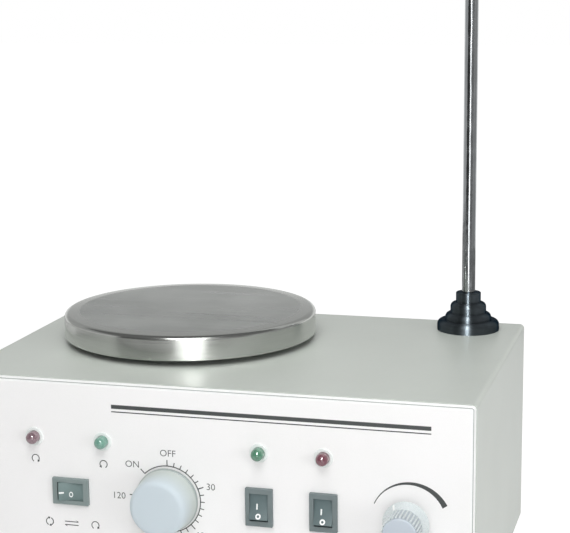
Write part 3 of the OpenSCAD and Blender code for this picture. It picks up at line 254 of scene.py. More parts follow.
def finish(name, light, dark, cloud_mm, grain_mm, rough, bump_mm, stretch=(1, 1, 1), turned_about="",
           painted_shade_heights=(), **sockets):
    """A finish whose colour drifts over cloud_mm, and whose gloss and relief follow a grain of grain_mm.

    turned_about names the axis that fine tool lines run round, which draw a highlight out across them.
    A pair of shade heights above the front, in mm, makes the colour go from dark to light between them instead:
    painted shade, darker towards the panel.
    """
    material = bpy.data.materials.new(name)
    material.use_nodes = True
    tree = material.node_tree
    shader = tree.nodes["Principled BSDF"]
    for key, value in sockets.items():
        shader.inputs[key.replace("_", " ")].default_value = value
    place = add_node(tree, "ShaderNodeTexCoord").outputs["Object"]
    along = add_node(tree, "ShaderNodeMapping", {"Vector": place, "Scale": stretch}).outputs["Vector"]
    grain = add_node(tree, "ShaderNodeTexNoise", {
        "Vector": along, "Scale": 1 / (grain_mm * MM), "Detail": GRAIN_DETAIL}).outputs["Fac"]
    # Painted shade: between the two heights the colour darkens towards the panel.
    if painted_shade_heights:
        depth = add_node(tree, "ShaderNodeSeparateXYZ", {"Vector": place}).outputs["Y"]
        share = add_node(tree, "ShaderNodeMapRange", {
            "Value": depth, "From Min": FACE_Y - painted_shade_heights[0] * MM, "From Max": FACE_Y - painted_shade_heights[1] * MM})
    else:
        cloud = add_node(tree, "ShaderNodeTexNoise", {
            "Vector": place, "Scale": 1 / (cloud_mm * MM), "Detail": CLOUD_DETAIL}).outputs["Fac"]
        both = add_node(tree, "ShaderNodeMath", {0: cloud, 1: grain}, operation="ADD")
        share = add_node(tree, "ShaderNodeMapRange", {
            "Value": both.outputs[0], "From Min": TINT_SPAN[0], "From Max": TINT_SPAN[1]})
    colour = add_node(tree, "ShaderNodeMix", {
        MIX_SHARE: share.outputs[0], MIX_FROM: linear(dark), MIX_TO: linear(light)}, data_type="RGBA")
    gloss = add_node(tree, "ShaderNodeMapRange", {
        "Value": grain, "From Min": GLOSS_SPAN[0], "From Max": GLOSS_SPAN[1],
        "To Min": rough[0], "To Max": rough[1]})
    relief = add_node(tree, "ShaderNodeBump", {"Height": grain, "Distance": bump_mm * MM})
    tree.links.new(colour.outputs[MIX_RESULT], shader.inputs["Base Color"])
    tree.links.new(gloss.outputs[0], shader.inputs["Roughness"])
    tree.links.new(relief.outputs[0], shader.inputs["Normal"])
    if turned_about:
        lines = add_node(tree, "ShaderNodeTangent", direction_type="RADIAL", axis=turned_about)
        tree.links.new(lines.outputs[0], shader.inputs["Tangent"])
    return material


# What several finishes share
LATHE_LINES = dict(stretch=(0.02, 0.02, 1), turned_about="Z", Metallic=1.0, Anisotropic_Rotation=0.25)
MILKY = dict(cloud_mm=9, grain_mm=0.6, bump_mm=0.001, Subsurface_Radius=(1, 1, 1))
SPARK_TEXTURE = dict(cloud_mm=7, grain_mm=0.35, rough=(0.46, 0.58), bump_mm=0.006)
PRESSED_SMOOTH = dict(cloud_mm=7, grain_mm=0.35, rough=(0.58, 0.68), bump_mm=0.004, Specular_IOR_Level=0.3)
LENS = dict(cloud_mm=3, grain_mm=1.0, rough=(0.08, 0.14), bump_mm=0.002, Transmission_Weight=0.15,
            Coat_Weight=0.6, Coat_Roughness=0.05)
FLAT_MATT_FINISH = dict(cloud_mm=6, grain_mm=0.4, rough=(0.5, 0.6), bump_mm=0.001)

FINISH = {
    # Stoved enamel, sprayed on steel sheet: a soft gloss with a faint orange peel about 1.5 mm across.
    "enamel": finish("stoved_enamel", "CDD3CC", "C7CDC6", cloud_mm=60, grain_mm=1.5, rough=(0.34, 0.42),
                     bump_mm=0.004),
    # White enamel, sprayed: the same soft gloss, brighter on the bevelled rim.
    "panel_paint": finish("white_enamel", "F3F4F3", "EEF0EF", cloud_mm=60, grain_mm=1.5, rough=(0.28, 0.36),
                          bump_mm=0.003),
    # Polycarbonate film, printed from behind: white with a fine matt texture.
    "overlay_film": finish("matt_polycarbonate_film", "F1F0F0", "EDEDEC", cloud_mm=70, grain_mm=0.5,
                           rough=(0.44, 0.54), bump_mm=0.0015),
    # Zinc plate, passivated: grey metal with cloudy patches and a dull shine.
    "zinc_steel": finish("zinc_plated_steel", "B9BDBF", "A2A7A9", cloud_mm=14, grain_mm=1.2,
                         rough=(0.3, 0.44), bump_mm=0.002, Metallic=1.0),
    # Stainless steel, belt brushed along X: lines about 0.2 mm apart, drawn as streaks of 5 mm to show.
    "stainless": finish("brushed_stainless", "AEB1AE", "868A87", cloud_mm=45, grain_mm=5.0,
                        rough=(0.26, 0.44), bump_mm=0.012, stretch=(0.04, 1, 1), Metallic=1.0),
    # Chrome plate, buffed by hand: a mirror with soft waves 6 mm across, which break up its streak of light.
    "bright_chrome": finish("buffed_chrome", "AEB1B3", "9FA2A4", cloud_mm=20, grain_mm=6.0,
                            rough=(0.06, 0.2), bump_mm=0.3, stretch=(1, 1, 0.4), Metallic=1.0),
    # Blackened steel, turned: an oxide skin, dark from every side, with one narrow upright streak of light.
    "black_gloss": finish("blackened_turned_steel", "5A6166", "50575B", cloud_mm=18, grain_mm=0.7,
                          rough=(0.38, 0.42), bump_mm=0.0005, Anisotropic=1.0,
                          Specular_Tint=(0.25, 0.26, 0.28, 1), **LATHE_LINES),
    # Moulded rubber: dull black with a dusty grain.
    "black_rubber": finish("moulded_rubber", "262627", "191A1B", cloud_mm=8, grain_mm=0.6,
                           rough=(0.68, 0.8), bump_mm=0.02),
    # Cast aluminium, bare: pale and grainy.
    "bare_aluminium": finish("cast_aluminium", "C4C7C9", "AEB2B5", cloud_mm=10, grain_mm=0.8,
                             rough=(0.38, 0.5), bump_mm=0.01, Metallic=1.0),
    # Built-up mica sheet: tan flakes with a slight glitter.
    "mica": finish("mica_sheet", "BF9F70", "A5834F", cloud_mm=6, grain_mm=2.0, rough=(0.35, 0.6),
                   bump_mm=0.01),
    # Pressed ceramic, unglazed: chalky white.
    "white_ceramic": finish("unglazed_ceramic", "EDEDE8", "E3E2DB", cloud_mm=8, grain_mm=0.4,
                            rough=(0.6, 0.72), bump_mm=0.008),
    # Machine enamel on the motor: grey and slightly rough.
    "motor_paint": finish("machine_enamel", "636A6E", "555C60", cloud_mm=12, grain_mm=1.2,
                          rough=(0.35, 0.5), bump_mm=0.01),
    # Stacked electrical steel, varnished: thin dark layers about 0.5 mm thick.
    "lamination": finish("varnished_laminations", "57595B", "3E4042", cloud_mm=9, grain_mm=0.5,
                         rough=(0.4, 0.55), bump_mm=0.02, stretch=(0.05, 0.05, 1), Metallic=0.6),
    # Enamelled copper wire in turns about 0.7 mm apart: warm and glossy.
    "copper_wire": finish("enamelled_copper", "B7693A", "8F4C26", cloud_mm=7, grain_mm=0.7,
                          rough=(0.22, 0.35), bump_mm=0.05, stretch=(0.1, 0.1, 1), Metallic=1.0),
    # Sintered bronze: brown gold, finely porous.
    "bronze": finish("sintered_bronze", "A4834C", "8B6D3C", cloud_mm=5, grain_mm=0.4, rough=(0.4, 0.55),
                     bump_mm=0.01, Metallic=1.0),
    # Drawn brass: yellow with faint drawing lines.
    "brass": finish("drawn_brass", "C9A955", "B39145", cloud_mm=6, grain_mm=0.4, rough=(0.22, 0.34),
                    bump_mm=0.002, stretch=(1, 0.1, 1), Metallic=1.0),
    # Frosted acrylic, moulded: milky and pale blue on the face, with painted shade that makes it greyer and
    # greener down the wall towards the panel.
    "milky_plastic": finish("frosted_acrylic", "C9D4DA", "C1C9C6", rough=(0.52, 0.62), painted_shade_heights=(6.0, 18.2),
                            Specular_IOR_Level=0.2, Subsurface_Weight=0.35, Subsurface_Scale=0.003, **MILKY),
    # Nylon, moulded with a spark texture: grey-green with a fine grain.
    "switch_plastic": finish("textured_nylon", "808D8C", "788584", **SPARK_TEXTURE),
    # Polycarbonate, moulded and tinted green: smooth, with a small bright glint.
    "lens_green": finish("green_polycarbonate", "80B09F", "6B9B8B", **LENS),
    # Polycarbonate, moulded and tinted dark red: the same glint.
    "lens_red": finish("red_polycarbonate", "947880", "7B636B", **LENS),
    # Polystyrene, moulded: pale and glossy.
    "clear_plastic": finish("pale_polystyrene", "E9EDEB", "DDE3E1", cloud_mm=4, grain_mm=0.6,
                            rough=(0.16, 0.24), bump_mm=0.001),
    # Solder mask on glass laminate: green with a weave about 0.6 mm across.
    "board": finish("green_solder_mask", "2F6E47", "25593A", cloud_mm=12, grain_mm=0.6, rough=(0.28, 0.4),
                    bump_mm=0.004),
    # Nylon and phenolic, moulded: near black with a fine grain.
    "black_plastic": finish("black_nylon", "2E3032", "242628", cloud_mm=8, grain_mm=0.4, rough=(0.4, 0.52),
                            bump_mm=0.005),
}
# Stainless steel, polished on a lathe: the plate's skirt, with lines round it and upright highlights. Its colour,
# paler than the disc's, is painted light.
SKIRT = finish("turned_stainless", "CACCC8", "BCBEBA", cloud_mm=45, grain_mm=0.7, rough=(0.21, 0.27),
               bump_mm=0.0005, Anisotropic=0.7, **LATHE_LINES)
# Stainless steel, polished: the ring round the plate's brushed disc, smoother and lighter than the disc. Its
# colour also lies on the upper part of the rounded edge as painted shade, darker than the skirt.
RING = finish("polished_stainless_and_edge_shade", "A8AAA7", "A0A29F", cloud_mm=45, grain_mm=0.7, rough=(0.14, 0.2),
              bump_mm=0.0003, Metallic=1.0, Specular_Tint=(0.93, 0.94, 0.93, 1))
# Frosted acrylic, moulded: the speed knob's grip, darker down its ribbed wall than on its face, which is painted
# shade.
GRIP_ACRYLIC = finish("ribbed_acrylic", "BEC7D0", "B2BBC2", rough=(0.45, 0.55), painted_shade_heights=(20.2, 21.5),
                      Specular_IOR_Level=0.35, Subsurface_Weight=0.35, Subsurface_Scale=0.002, **MILKY)
# Clear acrylic, sanded behind: the speed knob's skirt, paler than its grip.
SKIRT_ACRYLIC = finish("sanded_acrylic", "D6DDDE", "CFD7D8", rough=(0.24, 0.32), Subsurface_Weight=0.3,
                       Subsurface_Scale=0.002, **MILKY)
# Clear acrylic, moulded: the timer knob's thin foot, whose edge is darkened as painted shade, a dark line where
# the knob meets the panel.
FOOT_SHADE_ACRYLIC = finish("acrylic_foot_painted_shade", "9EA8A6", "949E9C", cloud_mm=9, grain_mm=0.6, rough=(0.3, 0.4),
                      bump_mm=0.001)
# Screen ink: dark grey and flat.
INK = finish("grey_screen_ink", "3A3F3E", "323736", **FLAT_MATT_FINISH)
# A flat pale grey line, on the bare panel.
PALE_LINE_FINISH = finish("pale_grey_line", "A8ABAA", "9EA1A0", **FLAT_MATT_FINISH)
# Pad-printed ink: the flat white marks on the rockers and the speed knob.
WHITE_INK = finish("white_pad_ink", "F4F6F5", "E9ECEB", cloud_mm=4, grain_mm=0.3, rough=(0.45, 0.55),
                   bump_mm=0.001)
# Nylon, moulded: the rockers, deeper in tint than their frames, and duller where fingers press them.
ROCKER_NYLON = finish("worn_nylon", "728584", "6B7E7D", **PRESSED_SMOOTH)
# The stirring and heating rockers: the same nylon in a deeper tint, which is painted shade.
SHADED_ROCKER_NYLON = finish("shaded_worn_nylon", "5E6F71", "586869", **PRESSED_SMOOTH)
# Nylon, moulded with a spark texture: the frames of the stirring and heating switches, in a deeper grey that is
# painted shade.
SHADED_NYLON = finish("shaded_textured_nylon", "6D797A", "657172", **SPARK_TEXTURE)

# Pieces whose tint is deeper than the rest of their slot: two switch frames and two lenses. The frames' deeper
# grey is painted shade.
DEEP = {
    "stir_switch": SHADED_NYLON,
    "heat_switch": SHADED_NYLON,
    "stir_lamp": finish("deep_green_polycarbonate", "62997E", "4D8066", **LENS),
    "heat_lamp": finish("deep_red_polycarbonate", "8A5763", "70414C", **LENS),
}

for part in frame["record"]["subparts"]:
    for slot in frame["nodes"][part["node"]].material_slots:
        slot.material = DEEP.get(part["node"], FINISH[part["material_slot"]])


# Making of pieces

def add_piece(name, made, finishes, body, replaced=(), sharp=35):
    """Links a finished bmesh as a piece that rides on a body; each face numbers the finish that it takes.

    Edges that bend by more than sharp degrees stay hard.
    """
    mesh = bpy.data.meshes.new(name)
    made.to_mesh(mesh)
    made.free()
    for one in finishes:
        mesh.materials.append(one)
    mesh.shade_smooth()
    mesh.set_sharp_from_angle(angle=math.radians(sharp))
    piece = bpy.data.objects.new(name, mesh)
    scene.collection.objects.link(piece)
    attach(piece, body)
    if replaced:
        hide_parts(*replaced)


def merge(into, other, place=Matrix.Identity(4)):
    """Adds a bmesh or mesh to a bmesh, moved to its place."""
    mesh = other
    if isinstance(other, bmesh.types.BMesh):
        mesh = bpy.data.meshes.new("part")
        other.to_mesh(mesh)
        other.free()
    mesh.transform(place)
    into.from_mesh(mesh)
    bpy.data.meshes.remove(mesh)


def eased(corners, steps=6):
    """A profile through (radius, height) corners, in mm; a corner's third number, if any, rounds it."""
    points = []
    for i, corner in enumerate(corners):
        here, size = Vector(corner[:2]), corner[2] if len(corner) > 2 else 0
        if not size:
            points.append(here)
            continue
        before = here + (Vector(corners[i - 1][:2]) - here).normalized() * size
        after = here + (Vector(corners[i + 1][:2]) - here).normalized() * size
        for k in range(steps + 1):
            t = k / steps
            points.append((1 - t) ** 2 * before + 2 * t * (1 - t) * here + t ** 2 * after)
    return points


def turned(profile, turns=96):
    """A bmesh turned about Z from a profile of (radius, height) points in mm."""
    made = bmesh.new()
    verts = [made.verts.new((r * MM, 0, z * MM)) for r, z in profile]
    edges = [made.edges.new(pair) for pair in zip(verts, verts[1:])]
    bmesh.ops.spin(made, geom=verts + edges, axis=(0, 0, 1), cent=(0, 0, 0), angle=2 * math.pi, steps=turns,
                   use_merge=True)
    bmesh.ops.remove_doubles(made, verts=made.verts, dist=1e-7)
    bmesh.ops.dissolve_degenerate(made, edges=made.edges, dist=1e-8)
    bmesh.ops.recalc_face_normals(made, faces=made.faces)
    return made


def loft(sections, ends=True):
    """A closed bmesh through sections with equal numbers of (x, y, z) points, in mm.

    Without ends, the last section goes on to the first, as round a frame.
    """
    made = bmesh.new()
    rings = [[made.verts.new(Vector(p) * MM) for p in section] for section in sections]
    for near, far in zip(rings, rings[1:] if ends else rings[1:] + rings[:1]):
        for i in range(len(near)):
            made.faces.new((near[i - 1], near[i], far[i], far[i - 1]))
    if ends:
        made.faces.new(rings[0])
        made.faces.new(rings[-1])
    bmesh.ops.recalc_face_normals(made, faces=made.faces)
    return made


def slab(outline, low, high):
    """A closed plate with an outline of (x, y) points, between two heights, in mm."""
    return loft([[(x, y, z) for x, y in outline] for z in (low, high)])


def printed(outline):
    """A layer of ink with an outline of (x, y) points in mm."""
    return slab(outline, -PRINT_SUNK, PRINT_T)


def rectangle(x0, y0, x1, y1):
    return [(x0, y0), (x1, y0), (x1, y1), (x0, y1)]


def arc(centre, radius, start, end, steps=48):
    """Points on a circle, with angles in degrees clockwise from the top, as on a dial."""
    turn = [math.radians(start + (end - start) * i / steps) for i in range(steps + 1)]
    return [(centre[0] + radius * math.sin(a), centre[1] + radius * math.cos(a)) for a in turn]


def on_front(x, z, y=FACE_Y):
    """A place on the front's film, or at another y, with local Z pointing out of it; all in metres."""
    return Matrix.Translation((x, y, z)) @ Matrix.Rotation(math.pi / 2, 4, "X")


def mesh_of(piece):
    """The plain mesh that an object with a modifier or a text gives. The object is removed."""
    graph = bpy.context.evaluated_depsgraph_get()
    mesh = bpy.data.meshes.new_from_object(piece.evaluated_get(graph))
    piece.modifiers.clear()
    bpy.data.objects.remove(piece)
    return mesh


def from_tree(name, tree, values):
    """The plain mesh that a Geometry Nodes tree gives for these inputs."""
    piece = bpy.data.objects.new(name, bpy.data.meshes.new(name))
    scene.collection.objects.link(piece)
    modifier = piece.modifiers.new("build", "NODES")
    modifier.node_group = tree
    for item in tree.interface.items_tree:
        if item.item_type == "SOCKET" and item.in_out == "INPUT":
            modifier[item.identifier] = values[item.name]
    return mesh_of(piece)


def round_the_axis(name, sizes):
    """Starts a tree that sets copies of one bar round an axis; returns the tree, its inputs and an ending."""
    tree = bpy.data.node_groups.new(name, "GeometryNodeTree")
    kinds = [(size, "Float") for size in sizes]
    kinds += [("Count", "Int"), ("Start", "Float"), ("Step", "Float"), ("Finish", "Material")]
    for label, kind in kinds:
        tree.interface.new_socket(label, in_out="INPUT", socket_type="NodeSocket" + kind)
    tree.interface.new_socket("Geometry", in_out="OUTPUT", socket_type="NodeSocketGeometry")
    given = add_node(tree, "NodeGroupInput").outputs

    def end_with(one_bar):
        spots = add_node(tree, "GeometryNodeMeshLine", {"Count": given["Count"], "Offset": (0, 0, 0)})
        index = add_node(tree, "GeometryNodeInputIndex")
        steps = add_node(tree, "ShaderNodeMath", {0: index.outputs[0], 1: given["Step"], 2: given["Start"]},
                         operation="MULTIPLY_ADD")
        angle = add_node(tree, "ShaderNodeCombineXYZ", {"Z": steps.outputs[0]})
        turn = add_node(tree, "FunctionNodeEulerToRotation", {"Euler": angle.outputs[0]})
        copies = add_node(tree, "GeometryNodeInstanceOnPoints", {
            "Points": spots.outputs[0], "Instance": one_bar, "Rotation": turn.outputs[0]})
        real = add_node(tree, "GeometryNodeRealizeInstances", {"Geometry": copies.outputs[0]})
        dressed = add_node(tree, "GeometryNodeSetMaterial", {
            "Geometry": real.outputs[0], "Material": given["Finish"]})
        add_node(tree, "NodeGroupOutput", {"Geometry": dressed.outputs[0]})
        return tree

    return tree, given, end_with


def dial_tick_tree():
    """Flat ticks round a dial: each starts at Radius and points outwards."""
    tree, given, end_with = round_the_axis("dial_ticks", ["Radius", "Length", "Width", "Thickness"])
    size = add_node(tree, "ShaderNodeCombineXYZ", {
        "X": given["Width"], "Y": given["Length"], "Z": given["Thickness"]})
    block = add_node(tree, "GeometryNodeMeshCube", {"Size": size.outputs[0]})
    middle = add_node(tree, "ShaderNodeMath", {0: given["Length"], 1: 0.5, 2: given["Radius"]},
                      operation="MULTIPLY_ADD")
    spot = add_node(tree, "ShaderNodeCombineXYZ", {"Y": middle.outputs[0]})
    tick = add_node(tree, "GeometryNodeTransform", {
        "Geometry": block.outputs[0], "Translation": spot.outputs[0]})
    return end_with(tick.outputs[0])


def knob_rib_tree():
    """Round ribs along a knob's grip: each stands on the circle of Radius, from Low upwards."""
    tree, given, end_with = round_the_axis("knob_ribs", ["Radius", "Rib radius", "Length", "Low"])
    rod = add_node(tree, "GeometryNodeMeshCylinder", {
        "Vertices": 12, "Radius": given["Rib radius"], "Depth": given["Length"]})
    middle = add_node(tree, "ShaderNodeMath", {0: given["Length"], 1: 0.5, 2: given["Low"]},
                      operation="MULTIPLY_ADD")
    spot = add_node(tree, "ShaderNodeCombineXYZ", {"Y": given["Radius"], "Z": middle.outputs[0]})
    rib = add_node(tree, "GeometryNodeTransform", {
        "Geometry": rod.outputs["Mesh"], "Translation": spot.outputs[0]})
    return end_with(rib.outputs[0])


LETTER_THINNING = -0.006    # slims the strokes, as a share of the letters' size


def lettering(text, cap_height):
    """Plain letters as a bmesh, centred on the origin, with capitals of that height in mm."""
    curve = bpy.data.curves.new("letters", "FONT")
    curve.body = text
    curve.offset = LETTER_THINNING
    curve.extrude = 1.0
    curve.resolution_u = 4
    piece = bpy.data.objects.new("letters", curve)
    scene.collection.objects.link(piece)
    made = bmesh.new()
    merge(made, mesh_of(piece))
    bmesh.ops.remove_doubles(made, verts=made.verts, dist=1e-5)
    low = Vector([min(v.co[i] for v in made.verts) for i in range(3)])
    high = Vector([max(v.co[i] for v in made.verts) for i in range(3)])
    scale = cap_height * MM / (high.y - low.y)
    half_t = (PRINT_T + PRINT_SUNK) * MM / 2
    mid_z = (PRINT_T - PRINT_SUNK) * MM / 2
    for v in made.verts:
        v.co = (*((v.co - (low + high) / 2) * scale).xy, v.co.z * half_t + mid_z)
    bmesh.ops.recalc_face_normals(made, faces=made.faces)
    return made


# Hotplate: a pressed cup with a brushed disc, and round it a polished ring that falls slightly to the edge

PLATE_WALL = 1.5
PLATE_EDGE_R = 3.0
EDGE_STEP = 6           # degrees between the points of the rounded edge
PLATE_LIP = 0.4         # bevel of the lower rim
RING_W = 9.0
RING_DROP = 0.35
# Painted shade: faces of the edge whose normal rises more than this take the ring's darker colour.
EDGE_SHADE_SHARE = 0.35       # the ring's polish runs over the edge as long as a face's normal rises this much


def make_hotplate():
    low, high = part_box("hotplate")
    middle = (low + high) / 2
    radius = (high.x - low.x) / 2 / MM
    tall = (high.z - low.z) / MM
    inner = radius - PLATE_WALL
    edge_start = radius - PLATE_EDGE_R
    edge_foot = tall - PLATE_EDGE_R
    disc_r = radius - RING_W
    edge = [(edge_start + PLATE_EDGE_R * math.sin(math.radians(a)),
             edge_foot + (PLATE_EDGE_R - RING_DROP) * math.cos(math.radians(a)))
            for a in range(0, 91, EDGE_STEP)]
    rim = [(radius, PLATE_LIP), (radius - PLATE_LIP, 0), (inner + PLATE_LIP, 0), (inner, PLATE_LIP)]
    inside = [(inner, edge_foot), (edge_start, tall - PLATE_WALL), (0, tall - PLATE_WALL)]
    made = turned([(0, tall), (disc_r, tall)] + edge + rim + inside, turns=160)
    disc_face, skirt_face, ring_and_edge_shade_face = range(3)
    for face in made.faces:
        face.material_index = disc_face
        # Painted shade: the upward-facing part of the edge takes the ring's darker colour.
        if face.calc_center_median().xy.length > disc_r * MM:
            face.material_index = ring_and_edge_shade_face if face.normal.z > EDGE_SHADE_SHARE else skirt_face
    made.transform(Matrix.Translation((middle.x, middle.y, low.z)))
    add_piece("hotplate_pressing", made, [FINISH["stainless"], SKIRT, RING], "chassis",
              ["hotplate"], sharp=20)


# Knobs: heights are above the film

KNOB_TURNS = 144

TIMER_BACK = 0.8
TIMER_FOOT_R = 17.4
TIMER_FOOT_TOP = 3.0
TIMER_WALL_R = 16.9     # at the foot, and the wall tapers from there
TIMER_FACE_R = 15.45
TIMER_TALL = 18.6
TIMER_BACK_EASE = 0.3   # roundings of the corners, from the back to the face
TIMER_FOOT_EASE = 0.6
TIMER_WALL_EASE = 0.2
TIMER_FACE_EASE = 3.4
# Painted shade: the foot's edge is darkened where the knob meets the panel.
FOOT_SHADE_R = 17.2      # the foot's edge, outside this radius and below this height, shows as a darker line
FOOT_SHADE_TOP = 2.9

SPEED_BACK = 4.2
SPEED_SKIRT_R = 12.3
SPEED_SKIRT_FOOT = 4.9  # the skirt rises as a cone from this height to its shoulder
SPEED_SHOULDER = 9.2
SPEED_LEDGE = 0.5       # width of the shoulder round the grip
SPEED_GRIP_R = 9.5
SPEED_TAPER = 0.6
SPEED_TALL = 21.6
SPEED_SKIRT_EASE = 0.3
SPEED_LEDGE_EASE = 0.1
SPEED_FACE_EASE = 1.0
RIB_COUNT = 30
RIB_R = 0.48
RIB_SUNK = 0.2          # the ribs' middles lie this far inside the grip
RIB_LOW = 9.0
RIB_LENGTH = 11.4
POINTER_W = 1.1
POINTER_LENGTH = 3.8
POINTER_T = 0.06
POINTER_SUNK = 0.1
POINTER_TURN = 32


def make_timer_knob():
    axis = AXIS["timer_turn"]
    profile = eased([(0, TIMER_BACK), (TIMER_FOOT_R, TIMER_BACK, TIMER_BACK_EASE),
                     (TIMER_FOOT_R, TIMER_FOOT_TOP, TIMER_FOOT_EASE),
                     (TIMER_WALL_R, TIMER_FOOT_TOP, TIMER_WALL_EASE),
                     (TIMER_FACE_R, TIMER_TALL, TIMER_FACE_EASE), (0, TIMER_TALL)], steps=10)
    made = turned(profile, turns=KNOB_TURNS)
    for face in made.faces:
        spot = face.calc_center_median()
        in_foot_shade = spot.z < FOOT_SHADE_TOP * MM and spot.xy.length > FOOT_SHADE_R * MM
        face.material_index = 1 if in_foot_shade else 0
    made.transform(on_front(axis.x, axis.z))
    add_piece("timer_knob_moulding", made, [FINISH["milky_plastic"], FOOT_SHADE_ACRYLIC], "timer",
              ["timer_knob"], sharp=60)


def make_speed_knob():
    """A ribbed grip on a conical skirt, with a white pointer that lies on the skirt."""
    axis = AXIS["speed_turn"]
    place = on_front(axis.x, axis.z)
    foot = Vector((SPEED_SKIRT_R, SPEED_SKIRT_FOOT))
    shoulder = Vector((SPEED_GRIP_R + SPEED_LEDGE, SPEED_SHOULDER))
    profile = eased([(0, SPEED_BACK), (SPEED_SKIRT_R, SPEED_BACK, SPEED_SKIRT_EASE),
                     (*foot, SPEED_SKIRT_EASE), (*shoulder, SPEED_SKIRT_EASE),
                     (SPEED_GRIP_R, SPEED_SHOULDER, SPEED_LEDGE_EASE),
                     (SPEED_GRIP_R - SPEED_TAPER, SPEED_TALL, SPEED_FACE_EASE), (0, SPEED_TALL)])
    made = turned(profile, turns=KNOB_TURNS)
    for face in made.faces:
        in_skirt = face.calc_center_median().z < (SPEED_SHOULDER + SPEED_LEDGE_EASE / 2) * MM
        face.material_index = 1 if in_skirt else 0
    ribs = from_tree("speed_knob_ribs", knob_rib_tree(), {
        "Radius": (SPEED_GRIP_R - RIB_SUNK) * MM, "Rib radius": RIB_R * MM, "Length": RIB_LENGTH * MM,
        "Low": RIB_LOW * MM, "Count": RIB_COUNT, "Start": 0.0, "Step": math.radians(360 / RIB_COUNT),
        "Finish": GRIP_ACRYLIC})
    merge(made, ribs)
    made.transform(place)
    add_piece("speed_knob_moulding", made, [GRIP_ACRYLIC, SKIRT_ACRYLIC], "speed",
              ["speed_knob"], sharp=50)

    slope = (shoulder - foot).normalized()
    middle = (foot + shoulder) / 2
    on_cone = Matrix(((-1, 0, 0, 0),
                      (0, slope.x, slope.y, middle.x * MM),
                      (0, slope.y, -slope.x, middle.y * MM),
                      (0, 0, 0, 1)))
    x, y = POINTER_W / 2, POINTER_LENGTH / 2
    pointer = slab(rectangle(-x, -y, x, y), -POINTER_SUNK, POINTER_T)
    pointer.transform(place @ Matrix.Rotation(math.radians(POINTER_TURN), 4, "Z") @ on_cone)
    add_piece("speed_pointer", pointer, [WHITE_INK], "speed")


# Rockers: drawn about their pivots, with the length along Y and the hollow face towards Z

ROCKER_R = 7.3          # half length of the solid
ROCKER_REACH = 7.5      # half length with the upright ends
ROCKER_FOOT = -4.5
ROCKER_DIP = 2.4        # height of the face in its middle
ROCKER_TILT = 11        # turn at rest, to one side or the other
ROCKER_HALF_W = 5.03
ROCKER_EASE = ((0, 0.2), (0.06, 0.06), (0.2, 0))    # rounded sides: how far from the side, and how far in
END_STEPS = 10
FACE_STEPS = 24
ANGLE_STEP = 0.002
FACE_RISE = ROCKER_R * math.tan(math.radians(ROCKER_TILT))
FACE_R = (ROCKER_R ** 2 + FACE_RISE ** 2) / (2 * FACE_RISE)


def rocker_face(along):
    """Height of the hollow face above the pivot, at a distance along the rocker."""
    return ROCKER_DIP + FACE_R - math.sqrt(FACE_R ** 2 - along ** 2)


def rocker_end(angle):
    """A point on the rocker's end at an angle above its pivot: upright when pressed in, and round below."""
    reach = ROCKER_REACH / math.cos(max(0, angle - math.radians(ROCKER_TILT)))
    return Vector((reach * math.cos(angle), reach * math.sin(angle)))


def rocker_outline():
    """The rocker seen from its side: up one end, along the hollow face and down the other end."""
    low = math.asin(ROCKER_FOOT / ROCKER_REACH)
    top = low
    while rocker_end(top).y < rocker_face(rocker_end(top).x):
        top += ANGLE_STEP
    half = rocker_end(top).x
    right = [rocker_end(low + (top - low) * i / END_STEPS) for i in range(END_STEPS + 1)]
    stations = [half * (1 - 2 * i / FACE_STEPS) for i in range(1, FACE_STEPS)]
    face = [(y, rocker_face(y)) for y in stations]
    left = [(-y, z) for y, z in reversed(right)]
    return [Vector(p) for p in right + face + left]


def rocker_body():
    """A closed rocker, rounded along its two sides."""
    outline = rocker_outline()
    sides = [(ROCKER_HALF_W - back, inset) for back, inset in ROCKER_EASE]
    sections = []
    for x, inset in [(-x, inset) for x, inset in sides] + sides[::-1]:
        section = []
        for i, here in enumerate(outline):
            along = outline[(i + 1) % len(outline)] - outline[i - 1]
            inwards = Vector((-along.y, along.x)).normalized()
            section.append((x, *(here + inwards * inset)))
        sections.append(section)
    return loft(sections)


def make_rocker(name, level, tilt, nylon, marks):
    """A rocker and its marks, which lie in the hollow face; a level one has its length from side to side."""
    body = name + "_rocker"
    out = Matrix.Translation(AXIS[name + "_rock"]) @ Matrix.Rotation(math.pi / 2, 4, "X")
    turn = Matrix.Rotation(math.radians(90 if level else 0), 4, "Z")
    place = out @ turn @ Matrix.Rotation(math.radians(tilt), 4, "X")
    made = rocker_body()
    made.transform(place)
    add_piece(body + "_moulding", made, [nylon], body, [body], sharp=40)
    inked = bmesh.new()
    for shape in marks:
        merge(inked, shape)
    for v in inked.verts:
        v.co.z += rocker_face(v.co.y / MM) * MM
    inked.transform(place)
    add_piece(body + "_marks", inked, [WHITE_INK], body)


def bar_mark(x, y, width, length, steps=6):
    """A short bar along the rocker, in steps so that it can follow the hollow."""
    side = [(x + width / 2, y - length / 2 + length * i / steps) for i in range(steps + 1)]
    return printed(side + [(2 * x - u, v) for u, v in reversed(side)])


def ring_mark(x, y, radius, line, narrow=1.0, turn=0):
    """A ring, or an oval that is narrowed in one direction and then turned."""
    bore = radius - line
    ring = turned([(bore, -PRINT_SUNK), (radius, -PRINT_SUNK), (radius, PRINT_T), (bore, PRINT_T),
                   (bore, -PRINT_SUNK)], turns=32)
    ring.transform(Matrix.Translation((x * MM, y * MM, 0)) @ Matrix.Rotation(math.radians(turn), 4, "Z")
                   @ Matrix.Diagonal((narrow, 1, 1, 1)))
    return ring


